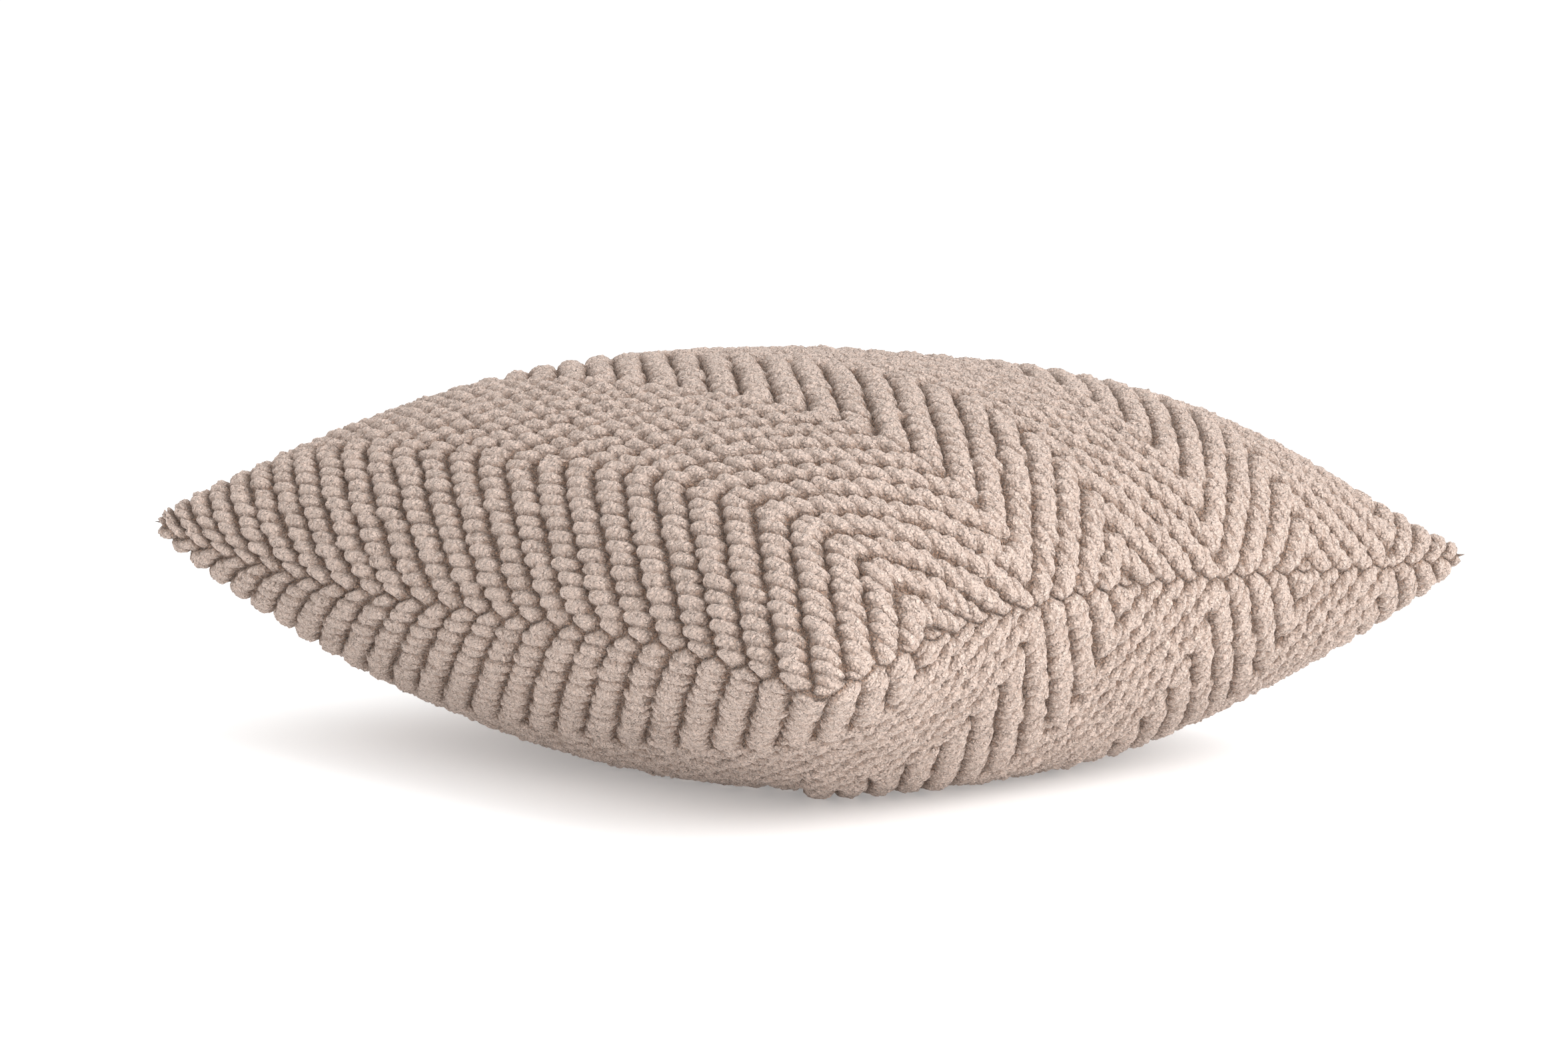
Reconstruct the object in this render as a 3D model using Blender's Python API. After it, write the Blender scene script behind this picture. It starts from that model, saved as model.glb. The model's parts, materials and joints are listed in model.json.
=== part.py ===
"""A square throw pillow: a chunky chenille cover with a zip along its rear side, and a filled insert inside it.

Blender 4.5, metres, +Z up. The pillow lies flat on the floor. Its sides run along X and Y, the zip is on
the +Y side, and the origin is on the floor under the middle.
"""

import math

import bmesh
import bpy

# --- Driving dimensions, in metres -------------------------------------------------------------------
HALF_SIDE = 0.220            # the middle to a corner, along X and along Y
SIDE_PULL = 0.010            # how far the filling pulls a side in from the line of its corners
SEAM_HEIGHT = 0.088          # floor to seam
TOP_CROWN = 0.086            # rise of the top panel above its turned edge
BOTTOM_CROWN = 0.092         # depth that the bottom panel would have if the floor didn't flatten it
TOP_FULLNESS = 0.54          # a power: lower is fuller near the edges
BOTTOM_FULLNESS = 0.62
PLAN_SQUARENESS = 2.6        # a power: 2 is round in plan, higher is squarer
CORNER_LIFT = {              # how far each corner stands above or hangs below the seam
    (-1, -1): 0.016,
    (1, -1): -0.014,
}
LIFT_REACH = 3.0             # a power: higher keeps the lift nearer to its corner

COVER_WALL = 0.006           # thickness of the chenille cloth
COVER_EDGE = 0.005           # height of a panel's turned edge above the seam
TOUCH = 0.0003               # gap between pieces that touch
RUN = 0.0003                 # running clearance of the zip slider

ZIP_HALF = 0.152             # the middle of the zip to the end of its coils
TAPE_PAST_COIL = 0.020       # end of the coils to the end of the tapes
SLOT_HALF_HEIGHT = 0.0045    # seam to the edge of the cover along the zip
SLOT_CLOSING = 0.010         # length over which the cover closes past the zip
SLOT_PAST_TAPE = 0.002       # end of a tape to the end of the slot
TAPE_THICK = 0.0006
TAPE_REACH = 0.012           # seam to the far edge of a tape
COIL_THICK = 0.0020
COIL_WIDTH = 0.0022
STITCH_THICK = 0.0004
STOP_LENGTH = 0.003
STOP_PROUD = 0.0008          # how far a stop is larger than the coil

SLIDER_LENGTH = 0.011
SLIDER_PLATE = 0.0010
SLIDER_WEB = 0.0006
SLIDER_WEB_LENGTH = 0.004
SLIDER_FLANGE = 0.0008
BRIDGE_GAP = 0.0020          # height of the space under the slider's bridge
BRIDGE_REACH = 0.0020        # half the length of that space
BRIDGE_BAR = 0.0008
BRIDGE_WIDTH = 0.0020

PULL_LENGTH = 0.024
PULL_WIDTH = 0.0060
PULL_TIP_WIDTH = 0.0046
PULL_THICK = 0.0010
PULL_BAR = 0.0011            # length of the pull's cross bar along the pull
PULL_HOLE_RADIUS = 0.0011

INSERT_CLEAR = 0.006         # cover's inner wall to the insert's edge, all round
INSERT_EDGE = 0.0015         # height of the casing's edge above its seam
CASING_WALL = 0.001
SEAM_BAND_WIDTH = 0.004      # the cover's overlocked seam allowance, in plan
SEAM_BAND_HEIGHT = 0.005
SEAM_BAND_PAST_TAPE = 0.004  # end of a tape to the start of the seam allowance
INSERT_BAND_WIDTH = 0.002
INSERT_BAND_HEIGHT = 0.0024
LOOSE = 0.0009               # gap round what lies loose in the casing: its seam allowance and the filling

LABEL_WIDTH = 0.030
LABEL_RISE = 0.022
LABEL_THICK = 0.0005
LABEL_PLACE = 0.110          # along the side, from its middle

MIDDLE_STEPS = 4             # grid steps from the middle to the end of the zip's slot
CORNER_STEPS = 4             # grid steps from where the slot has closed to the corner
ARC_STEPS = 10

# --- Places that follow from them ---------------------------------------------------------------------
ZIP_TAPE_END = ZIP_HALF + TAPE_PAST_COIL
SLOT_END = ZIP_TAPE_END + SLOT_PAST_TAPE
SEAM_BAND_START = ZIP_TAPE_END + SEAM_BAND_PAST_TAPE
COVER_INNER = HALF_SIDE - COVER_WALL
INSERT_HALF = COVER_INNER - INSERT_CLEAR
WALL_FACE_Y = (HALF_SIDE - SIDE_PULL) * COVER_INNER / HALF_SIDE
TAPE_Y = WALL_FACE_Y - TOUCH - TAPE_THICK / 2
COIL_Y = TAPE_Y + TAPE_THICK / 2 + TOUCH
COIL_TOP_Y = COIL_Y + COIL_THICK
COIL_INNER_Z = SLIDER_WEB / 2 + RUN
COIL_OUTER_Z = COIL_INNER_Z + COIL_WIDTH
FRONT_PLATE_Y = COIL_TOP_Y + RUN
PLATE_TOP_Y = FRONT_PLATE_Y + SLIDER_PLATE
PIVOT_Y = PLATE_TOP_Y + BRIDGE_GAP / 2
SLIDER_X = ZIP_HALF - SLIDER_LENGTH / 2
FLANGE_Z = COIL_OUTER_Z + RUN


# --- Helpers ------------------------------------------------------------------------------------------
def clear_scene():
    for old in list(bpy.data.objects):
        bpy.data.objects.remove(old)


def finish_of(name, colour, roughness, metallic=0.0):
    """A plain Principled material."""
    material = bpy.data.materials.new(name)
    material.use_nodes = True
    shader = material.node_tree.nodes["Principled BSDF"]
    shader.inputs["Base Color"].default_value = (*colour, 1.0)
    shader.inputs["Roughness"].default_value = roughness
    shader.inputs["Metallic"].default_value = metallic
    return material


def new_object(name, bm, material, smooth=True):
    """Turns a bmesh into a named object with its faces pointing out."""
    bmesh.ops.recalc_face_normals(bm, faces=bm.faces)
    if bm.calc_volume(signed=True) < 0:
        bmesh.ops.reverse_faces(bm, faces=bm.faces)
    mesh = bpy.data.meshes.new(name)
    bm.to_mesh(mesh)
    bm.free()
    mesh.materials.append(material)
    if smooth:
        mesh.shade_smooth()
        mesh.set_sharp_from_angle(angle=math.radians(35))
    made = bpy.data.objects.new(name, mesh)
    bpy.context.scene.collection.objects.link(made)
    return made


def place(made, x, y, z, parent=None):
    made.location = (x, y, z)
    if parent is not None:
        made.parent = parent
    return made


def add_box(bm, low, high):
    """A box between two corners."""
    box = bmesh.ops.create_cube(bm, size=1.0)
    for vert in box["verts"]:
        vert.co = [(lo + hi) / 2 + c * (hi - lo) for lo, hi, c in zip(low, high, vert.co)]


def prism(outline, depth, to_point):
    """A flat outline, extruded. to_point turns (a, b, along) into (x, y, z)."""
    bm = bmesh.new()
    verts = [bm.verts.new(to_point(a, b, 0.0)) for a, b in outline]
    face = bm.faces.new(verts)
    grown = bmesh.ops.extrude_face_region(bm, geom=[face])
    shift = [end - start for start, end in zip(to_point(0, 0, 0), to_point(0, 0, depth))]
    moved = [item for item in grown["geom"] if isinstance(item, bmesh.types.BMVert)]
    bmesh.ops.translate(bm, verts=moved, vec=shift)
    return bm


def union(body, *others):
    """Joins helpers to a body with Booleans and hides them."""
    for other in others:
        join = body.modifiers.new("join_" + other.name, "BOOLEAN")
        join.operation = "UNION"
        join.object = other
        other.hide_render = True
        other.display_type = "WIRE"


def cut(body, cutter):
    """Takes a cutter's shape out of a body and hides the cutter."""
    hole = body.modifiers.new("cut_" + cutter.name, "BOOLEAN")
    hole.operation = "DIFFERENCE"
    hole.object = cutter
    cutter.hide_render = True
    cutter.display_type = "WIRE"


# --- The pillow's form --------------------------------------------------------------------------------
def grid_lines():
    """Places of the grid's lines, from -1 to 1, with lines at the ends of the zip's slot."""
    slot, closed = SLOT_END / HALF_SIDE, (SLOT_END + SLOT_CLOSING) / HALF_SIDE
    half = [slot * k / MIDDLE_STEPS for k in range(1, MIDDLE_STEPS + 1)] + [closed]
    for k in range(1, CORNER_STEPS + 1):
        half.append(closed + (1 - closed) * math.sin(math.pi / 2 * k / CORNER_STEPS))
    return [-value for value in reversed(half)] + [0.0] + half


LINES = grid_lines()


def border_route(rear_start=None):
    """(s, t) points round the edge, clockwise from the rear side. With rear_start, the rear side is left
    open between -rear_start and rear_start."""
    if rear_start is None:
        right_rear = LINES
    else:
        right_rear = [rear_start] + [s for s in LINES if s > rear_start]
    route = [(s, 1.0) for s in right_rear]
    route += [(1.0, t) for t in reversed(LINES[:-1])]
    route += [(s, -1.0) for s in reversed(LINES[:-1])]
    route += [(-1.0, t) for t in LINES[1:]]
    if rear_start is None:
        return route[:-1]
    return route + [(-s, 1.0) for s in reversed(right_rear[:-1])]


def pull(t):
    """How far a side is pulled in at t, as a share of the half side: all along its straight middle, and
    less and less towards its corners."""
    straight = SLOT_END / HALF_SIDE
    towards_corner = max(0.0, (abs(t) - straight) / (1 - straight))
    return SIDE_PULL / HALF_SIDE * (1 - towards_corner**2)


def plan(half, s, t):
    """Place in plan of the point (s, t), each from -1 to 1, on a form of that half side."""
    return half * s * (1 - pull(t)), half * t * (1 - pull(s))


def lift(s, t):
    """How far the seam stands above its height there."""
    total = 0.0
    for (corner_s, corner_t), rise in CORNER_LIFT.items():
        near = max(0.0, s * corner_s) * max(0.0, t * corner_t)
        total += rise * near**LIFT_REACH
    return total


def crown(s, t, power):
    """Share of the full crown at (s, t): 1 in the middle and 0 along the edges."""
    across = max(0.0, 1 - abs(s) ** PLAN_SQUARENESS)
    along = max(0.0, 1 - abs(t) ** PLAN_SQUARENESS)
    return (across * along) ** power


def surface_point(side, half, edge, rise, floor, s, t):
    """A point of a crowned surface. side is 1 for the top and -1 for the bottom."""
    x, y = plan(half, s, t)
    power = TOP_FULLNESS if side > 0 else BOTTOM_FULLNESS
    z = SEAM_HEIGHT + lift(s, t) + side * (edge + rise * crown(s, t, power))
    return x, y, max(z, floor)


def in_slot(s, t):
    """True along the zip, where the cover's two panels stand apart."""
    return t > 0.999 and abs(s) < (SLOT_END + SLOT_CLOSING / 2) / HALF_SIDE


def crowned_sheet(bm, side, half, edge, rise, floor):
    """Adds a crowned surface and returns the verts of its edge, in the order of border_route."""
    rows = {}
    for t in LINES:
        rows[t] = {s: bm.verts.new(surface_point(side, half, edge, rise, floor, s, t)) for s in LINES}
    for near, far in zip(LINES, LINES[1:]):
        for left, right in zip(LINES, LINES[1:]):
            bm.faces.new([rows[near][left], rows[near][right], rows[far][right], rows[far][left]])
    return [rows[t][s] for s, t in border_route()]


def rim(bm, side, half, slot):
    """Adds the verts of a panel's edge at the seam, in the order of border_route."""
    ring = []
    for s, t in border_route():
        apart = SLOT_HALF_HEIGHT if slot and in_slot(s, t) else TOUCH / 2
        ring.append(bm.verts.new((*plan(half, s, t), SEAM_HEIGHT + lift(s, t) + side * apart)))
    return ring


def join_rings(bm, *rings):
    """Fills the bands between closed rings of the same length."""
    for first, second in zip(rings, rings[1:]):
        for k, vert in enumerate(first):
            bm.faces.new([first[k - 1], vert, second[k], second[k - 1]])


def shell(name, side, half, edge, rise, floor, wall, material, slot=False):
    """One panel: a crowned shell, open towards the seam."""
    bm = bmesh.new()
    outer = crowned_sheet(bm, side, half, edge, rise, floor)
    inner = crowned_sheet(bm, side, half - wall, edge, rise - wall, floor + wall)
    join_rings(bm, outer, rim(bm, side, half, slot), rim(bm, side, half - wall, slot), inner)
    return new_object(name, bm, material)


def filled(name, half, edge, top_rise, bottom_rise, floor, material):
    """A solid pillow form."""
    bm = bmesh.new()
    top = crowned_sheet(bm, 1, half, edge, top_rise, floor)
    bottom = crowned_sheet(bm, -1, half, edge, bottom_rise, floor)
    join_rings(bm, top, bottom)
    return new_object(name, bm, material)


def seam_band(name, half, width, height, route, material, closed=False):
    """A band that follows the seam along route, a list of (s, t), with its outer face at that half side."""
    bm = bmesh.new()
    rings = []
    inward_share = (half - width) / half
    for s, t in route:
        outer, inner = plan(half, s, t), plan(half - width, s, t)
        outer_z = SEAM_HEIGHT + lift(s, t)
        inner_z = SEAM_HEIGHT + lift(s * inward_share, t * inward_share)
        up = height / 2
        section = [(*outer, outer_z - up), (*outer, outer_z + up), (*inner, inner_z + up), (*inner, inner_z - up)]
        rings.append([bm.verts.new(point) for point in section])
    pairs = list(zip(rings, rings[1:]))
    if closed:
        pairs.append((rings[-1], rings[0]))
    else:
        bm.faces.new(rings[0])
        bm.faces.new(rings[-1])
    for first, second in pairs:
        for k in range(4):
            after = (k + 1) % 4
            bm.faces.new([first[k], first[after], second[after], second[k]])
    return new_object(name, bm, material, smooth=False)


def inward(side, height, x):
    """How far the cover's inner wall, with its flat faces, has come in at that height above its turned edge,
    at x or a little nearer to the corner."""
    rise = (TOP_CROWN if side > 0 else BOTTOM_CROWN) - COVER_WALL
    power = TOP_FULLNESS if side > 0 else BOTTOM_FULLNESS
    s = min(line for line in LINES if line * COVER_INNER >= x)
    way_in, risen = 0.0, 0.0
    for t in reversed(LINES[:-1]):
        next_way_in, next_risen = COVER_INNER * (1 - t), rise * crown(s, t, power)
        if next_risen >= height:
            return way_in + (next_way_in - way_in) * (height - risen) / (next_risen - risen)
        way_in, risen = next_way_in, next_risen
    raise ValueError("the cover's inner wall is never that high")


# --- The cover and the insert -------------------------------------------------------------------------
def make_cover(cloth, thread):
    shell("cover_top_panel", 1, HALF_SIDE, COVER_EDGE, TOP_CROWN, 0.0, COVER_WALL, cloth, slot=True)
    shell("cover_bottom_panel", -1, HALF_SIDE, COVER_EDGE, BOTTOM_CROWN, 0.0, COVER_WALL, cloth, slot=True)
    half = COVER_INNER - TOUCH
    route = border_route(SEAM_BAND_START / half)
    seam_band("cover_seam_allowance", half, SEAM_BAND_WIDTH, SEAM_BAND_HEIGHT, route, thread)


def make_insert(cotton, thread, fibre):
    step_in = COVER_EDGE - COVER_WALL - TOUCH - INSERT_EDGE
    top_rise, bottom_rise = TOP_CROWN + step_in, BOTTOM_CROWN + step_in
    floor = COVER_WALL + TOUCH
    for name, side, rise in (("top", 1, top_rise), ("bottom", -1, bottom_rise)):
        shell("insert_casing_" + name, side, INSERT_HALF, INSERT_EDGE, rise, floor, CASING_WALL, cotton)
    half = INSERT_HALF - CASING_WALL - LOOSE
    seam_band(
        "insert_seam_allowance", half, INSERT_BAND_WIDTH, INSERT_BAND_HEIGHT, border_route(), thread, closed=True
    )
    fill = CASING_WALL + LOOSE
    filled(
        "insert_filling",
        half - INSERT_BAND_WIDTH - LOOSE,
        INSERT_EDGE,
        top_rise - fill,
        bottom_rise - fill,
        floor + fill,
        fibre,
    )


def make_label(satin):
    """A folded care label with nothing on it, sewn into the left seam inside the cover."""
    root_z = SEAM_BAND_HEIGHT / 2 + TOUCH
    root_x = (HALF_SIDE - SIDE_PULL) * (COVER_INNER - TOUCH) / HALF_SIDE - SEAM_BAND_WIDTH / 2
    bend_z = COVER_EDGE + COVER_WALL
    tip_x = root_x - inward(1, LABEL_RISE - COVER_EDGE, LABEL_PLACE) - LABEL_THICK
    line = [(root_x, root_z), (root_x, bend_z), (tip_x, LABEL_RISE)]
    outline = line + [(x - LABEL_THICK, z) for x, z in reversed(line)]
    start = LABEL_PLACE - LABEL_WIDTH / 2
    bm = prism(outline, LABEL_WIDTH, lambda x, z, along: (-x, start + along, SEAM_HEIGHT + z))
    new_object("care_label", bm, satin, smooth=False)


# --- The zip ------------------------------------------------------------------------------------------
def make_tape(name, side, tape):
    """One woven tape: it stands upright behind the slot, then follows the cover's inner wall."""
    bend = COVER_EDGE
    back = inward(side, TAPE_REACH - bend, ZIP_TAPE_END) + TOUCH
    line = [(TAPE_Y + TAPE_THICK / 2, COIL_INNER_Z), (TAPE_Y + TAPE_THICK / 2, bend)]
    line.append((TAPE_Y + TAPE_THICK / 2 - back, TAPE_REACH))
    outline = line + [(y - TAPE_THICK, z) for y, z in reversed(line)]
    bm = prism(
        outline, 2 * ZIP_TAPE_END, lambda y, z, along: (along - ZIP_TAPE_END, y, SEAM_HEIGHT + side * z)
    )
    new_object(name, bm, tape, smooth=False)


def zip_block(name, x, y, z, material):
    """A straight piece of the zip between x, y and z, each a pair, with z counted from the seam."""
    bm = bmesh.new()
    add_box(bm, (x[0], y[0], z[0] + SEAM_HEIGHT), (x[1], y[1], z[1] + SEAM_HEIGHT))
    return new_object(name, bm, material, smooth=False)


def rounded(made, width, segments=2):
    bevel = made.modifiers.new("rounding", "BEVEL")
    bevel.width = width
    bevel.segments = segments
    bevel.limit_method = "ANGLE"
    return made


def make_zip_strip(tape, nylon, metal, thread):
    """The pieces of the zip that stay on the cover."""
    stitch_y = TAPE_Y - TAPE_THICK / 2 - TOUCH
    stitch_z = COVER_EDGE - STITCH_THICK
    stop = (ZIP_HALF + TOUCH, ZIP_HALF + TOUCH + STOP_LENGTH)
    stop_y = (COIL_Y, COIL_TOP_Y + STOP_PROUD)
    stop_z = COIL_OUTER_Z + STOP_PROUD
    for name, side in (("upper", 1), ("lower", -1)):
        make_tape("zip_tape_" + name, side, tape)
        coil_z = sorted((side * COIL_INNER_Z, side * COIL_OUTER_Z))
        coil = zip_block("zip_coil_" + name, (-ZIP_HALF, ZIP_HALF), (COIL_Y, COIL_TOP_Y), coil_z, nylon)
        rounded(coil, 0.0005)
        top_z = sorted((side * COIL_INNER_Z, side * stop_z))
        rounded(zip_block("zip_top_stop_" + name, stop, stop_y, top_z, metal), 0.0004)
        stitch = sorted((side * stitch_z, side * (stitch_z - STITCH_THICK)))
        zip_block(
            "zip_stitching_" + name,
            (-ZIP_TAPE_END, ZIP_TAPE_END),
            (stitch_y - STITCH_THICK, stitch_y),
            stitch,
            thread,
        )
    bottom = (-stop[1], -stop[0])
    rounded(zip_block("zip_bottom_stop", bottom, stop_y, (-stop_z, stop_z), metal), 0.0004)


def make_slider(metal, carriage):
    """The slider: two plates round the coils, a web between them, flanges, and a bridge for the pull.
    Its own axes start at the pull's pivot, on the seam's level."""
    half, wide = SLIDER_LENGTH / 2, FLANGE_Z + SLIDER_FLANGE
    front, top = FRONT_PLATE_Y - PIVOT_Y, PLATE_TOP_Y - PIVOT_Y
    back = TAPE_Y - TAPE_THICK / 2 - RUN - PIVOT_Y
    overlap = SLIDER_PLATE / 2
    helpers = {
        "slider_back_plate": ((-half, back - SLIDER_PLATE, -wide), (half, back, wide)),
        "slider_web": (
            (half - SLIDER_WEB_LENGTH, back - overlap, -SLIDER_WEB / 2),
            (half - overlap, front + overlap, SLIDER_WEB / 2),
        ),
        "slider_flange_upper": ((-half, COIL_Y - PIVOT_Y, FLANGE_Z), (half, front + overlap, wide)),
        "slider_flange_lower": ((-half, COIL_Y - PIVOT_Y, -wide), (half, front + overlap, -FLANGE_Z)),
    }
    bm = bmesh.new()
    add_box(bm, (-half, front, -wide), (half, top, wide))
    slider = place(new_object("zip_slider", bm, metal, smooth=False), 0, 0, 0, carriage)
    pieces = []
    for name, (low, high) in helpers.items():
        bm = bmesh.new()
        add_box(bm, low, high)
        pieces.append(place(new_object(name, bm, metal, smooth=False), 0, 0, 0, carriage))
    pieces.append(place(bridge(metal, top - overlap), 0, 0, 0, carriage))
    union(slider, *pieces)
    rounded(slider, 0.0002, segments=1)


def bridge(metal, foot):
    """The arch on the slider's front plate that the pull's cross bar turns in."""
    reach, ceiling = BRIDGE_REACH, BRIDGE_GAP / 2
    over, outside = ceiling + BRIDGE_BAR, BRIDGE_REACH + BRIDGE_BAR
    shoulder = BRIDGE_BAR / 2
    outline = [
        (-outside, foot),
        (-outside, over - shoulder),
        (-outside + shoulder, over),
        (outside - shoulder, over),
        (outside, over - shoulder),
        (outside, foot),
        (reach, foot),
        (reach, ceiling),
        (-reach, ceiling),
        (-reach, foot),
    ]
    bm = prism(outline, BRIDGE_WIDTH, lambda x, y, along: (x, y, along - BRIDGE_WIDTH / 2))
    return new_object("slider_bridge", bm, metal, smooth=False)


def make_pull(metal, hinge):
    """The pull: a cross bar in the bridge, two legs beside it and a tapered tab with a round end. It lies
    back along the closed coils, and its own axes start on the bar."""
    bar, leg = PULL_BAR / 2, BRIDGE_WIDTH / 2 + RUN
    window_end = math.hypot(BRIDGE_REACH + BRIDGE_BAR, BRIDGE_GAP / 2 + BRIDGE_BAR) + RUN
    tip = PULL_TIP_WIDTH / 2
    centre = -PULL_LENGTH + tip
    outline = [(bar, -PULL_WIDTH / 2), (bar, PULL_WIDTH / 2), (-2 * window_end, PULL_WIDTH / 2)]
    for k in range(ARC_STEPS + 1):
        turn = math.pi / 2 + math.pi * k / ARC_STEPS
        outline.append((centre + tip * math.cos(turn), tip * math.sin(turn)))
    outline.append((-2 * window_end, -PULL_WIDTH / 2))
    bm = prism(outline, PULL_THICK, lambda x, z, along: (x, along - PULL_THICK / 2, z))
    pull_tab = place(new_object("zip_pull_tab", bm, metal, smooth=False), 0, 0, 0, hinge)
    bm = bmesh.new()
    add_box(bm, (-window_end, -PULL_THICK, -leg), (-bar, PULL_THICK, leg))
    cut(pull_tab, place(new_object("pull_window", bm, metal), 0, 0, 0, hinge))
    bm = bmesh.new()
    bmesh.ops.create_cone(
        bm,
        cap_ends=True,
        segments=2 * ARC_STEPS,
        radius1=PULL_HOLE_RADIUS,
        radius2=PULL_HOLE_RADIUS,
        depth=4 * PULL_THICK,
    )
    bore = place(new_object("pull_hole", bm, metal), centre, 0, 0, hinge)
    bore.rotation_euler = (math.pi / 2, 0, 0)
    cut(pull_tab, bore)


def main():
    clear_scene()
    cloth = finish_of("chenille", (0.50, 0.39, 0.33), 0.95)
    thread = finish_of("sewing_thread", (0.55, 0.45, 0.39), 0.8)
    cotton = finish_of("white_cotton", (0.85, 0.84, 0.81), 0.9)
    fibre = finish_of("polyester_fibre", (0.93, 0.93, 0.93), 1.0)
    satin = finish_of("label_satin", (0.88, 0.87, 0.84), 0.5)
    tape = finish_of("zip_tape", (0.48, 0.38, 0.33), 0.85)
    nylon = finish_of("zip_nylon", (0.45, 0.36, 0.31), 0.45)
    metal = finish_of("zip_metal", (0.55, 0.50, 0.46), 0.3, metallic=1.0)

    make_cover(cloth, thread)
    make_insert(cotton, thread, fibre)
    make_label(satin)
    make_zip_strip(tape, nylon, metal, thread)

    carriage = bpy.data.objects.new("slider_travel", None)
    hinge = bpy.data.objects.new("pull_pivot", None)
    for empty in (carriage, hinge):
        bpy.context.scene.collection.objects.link(empty)
    place(carriage, SLIDER_X, PIVOT_Y, SEAM_HEIGHT)
    place(hinge, 0, 0, 0, carriage)
    make_slider(metal, carriage)
    make_pull(metal, hinge)


main()
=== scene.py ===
"""A throw pillow in chunky chenille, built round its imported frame.

It is laid out as an add-on: the sizes and colours are property groups, and each piece, or group of like
pieces, has its own operator. Run as a script, it makes everything in order.
"""

import json
import math

import bmesh
import bpy
import numpy as np
from mathutils import Matrix, Vector


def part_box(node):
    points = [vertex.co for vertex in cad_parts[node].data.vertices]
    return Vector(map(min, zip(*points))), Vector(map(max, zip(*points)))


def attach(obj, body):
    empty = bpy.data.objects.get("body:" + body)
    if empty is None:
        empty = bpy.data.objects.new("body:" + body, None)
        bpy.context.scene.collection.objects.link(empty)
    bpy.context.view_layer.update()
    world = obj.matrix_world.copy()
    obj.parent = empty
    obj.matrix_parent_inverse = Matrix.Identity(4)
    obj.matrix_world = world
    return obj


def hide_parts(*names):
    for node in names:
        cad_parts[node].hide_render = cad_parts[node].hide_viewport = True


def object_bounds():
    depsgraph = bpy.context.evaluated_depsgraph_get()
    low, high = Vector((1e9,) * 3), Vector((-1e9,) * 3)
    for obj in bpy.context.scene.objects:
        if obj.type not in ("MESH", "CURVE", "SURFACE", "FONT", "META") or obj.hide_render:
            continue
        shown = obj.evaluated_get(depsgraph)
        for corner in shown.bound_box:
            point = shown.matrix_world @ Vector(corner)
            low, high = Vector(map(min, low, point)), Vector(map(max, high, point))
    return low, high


bl_info = {
    "name": "Chenille Throw Pillow",
    "version": (1, 0, 0),
    "blender": (4, 5, 0),
    "location": "View3D > Sidebar > Pillow",
    "description": "A square throw pillow with a herringbone chenille cover, a zip and a filled insert",
    "category": "Object",
}

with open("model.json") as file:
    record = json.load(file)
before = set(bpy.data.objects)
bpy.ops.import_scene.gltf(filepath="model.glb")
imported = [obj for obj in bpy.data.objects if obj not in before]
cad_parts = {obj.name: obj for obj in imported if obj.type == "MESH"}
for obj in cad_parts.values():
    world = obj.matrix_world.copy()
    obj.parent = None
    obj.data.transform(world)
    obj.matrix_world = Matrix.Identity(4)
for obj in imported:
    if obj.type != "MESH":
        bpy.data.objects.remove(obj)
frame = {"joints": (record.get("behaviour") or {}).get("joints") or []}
CAD_LOW, CAD_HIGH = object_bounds()
JOINTS = {joint["name"]: joint for joint in frame["joints"]}

# Sizes and places that the frame gives
HALF_SIDE = CAD_HIGH.x
PIVOT = Vector(JOINTS["pull_hinge"]["pos_m"])
SEAM_HEIGHT = JOINTS["pull_hinge"]["pos_m"][2]
TAPE_LOW, TAPE_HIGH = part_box("zip_tape_upper")
COIL_LOW, COIL_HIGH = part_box("zip_coil_upper")
SLIDER_LOW, SLIDER_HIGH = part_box("zip_slider")
PULL_LOW, PULL_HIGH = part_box("zip_pull_tab")
LABEL_LOW, LABEL_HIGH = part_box("care_label")
CASING_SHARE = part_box("insert_casing_top")[1].x / HALF_SIDE
FILLING_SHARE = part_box("insert_filling")[1].x / HALF_SIDE
COVER_BAND_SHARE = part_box("cover_seam_allowance")[1].x / HALF_SIDE
INSERT_BAND_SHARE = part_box("insert_seam_allowance")[1].x / HALF_SIDE

# The gap in the rear seam that shows the zip
REAR_PULL = 0.010  # how far the rear side is drawn in along it
SLOT_OPEN_TO = 0.177  # it is open from the middle to here
SLOT_CLOSED_AT = 0.186
SLOT_HALF_HEIGHT = 0.0045
SLOT_ROWS = 4  # rows of the net over which its lips turn back
TAPE_TUCK = 0.006  # how far a tape's end is caught in the closed part of the seam

# The net of cloth points that a panel is laid out on
NET_STEPS = 80
FINER = 8  # how many steps of woven relief go into one of the net's
CASING_FINER = 2  # the same, for the insert's plain casing
EVEN_TURNS = 6  # rounds of spacing the threads evenly
SMOOTH_TURNS = 6  # rounds of evening out the relief's directions
FLOOR_GAP = 0.0003  # least height of the relief on the underside

# How the filling presses the cover out
PRESSURE = 4
SWELL_FRAMES = 20
SWELL = 0.004  # how far inside the form the cloth starts
SWELL_CAP = 0.004  # the most that a puff or a dent may move a point
EVENING_TURNS = 60  # rounds of evening out that part the broad swelling from the puffs
SEAM_STEPS = 4  # steps of the net over which the puffs fade towards the seam
LEAST_HEIGHT = 0.0006  # of the net over the floor

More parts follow.
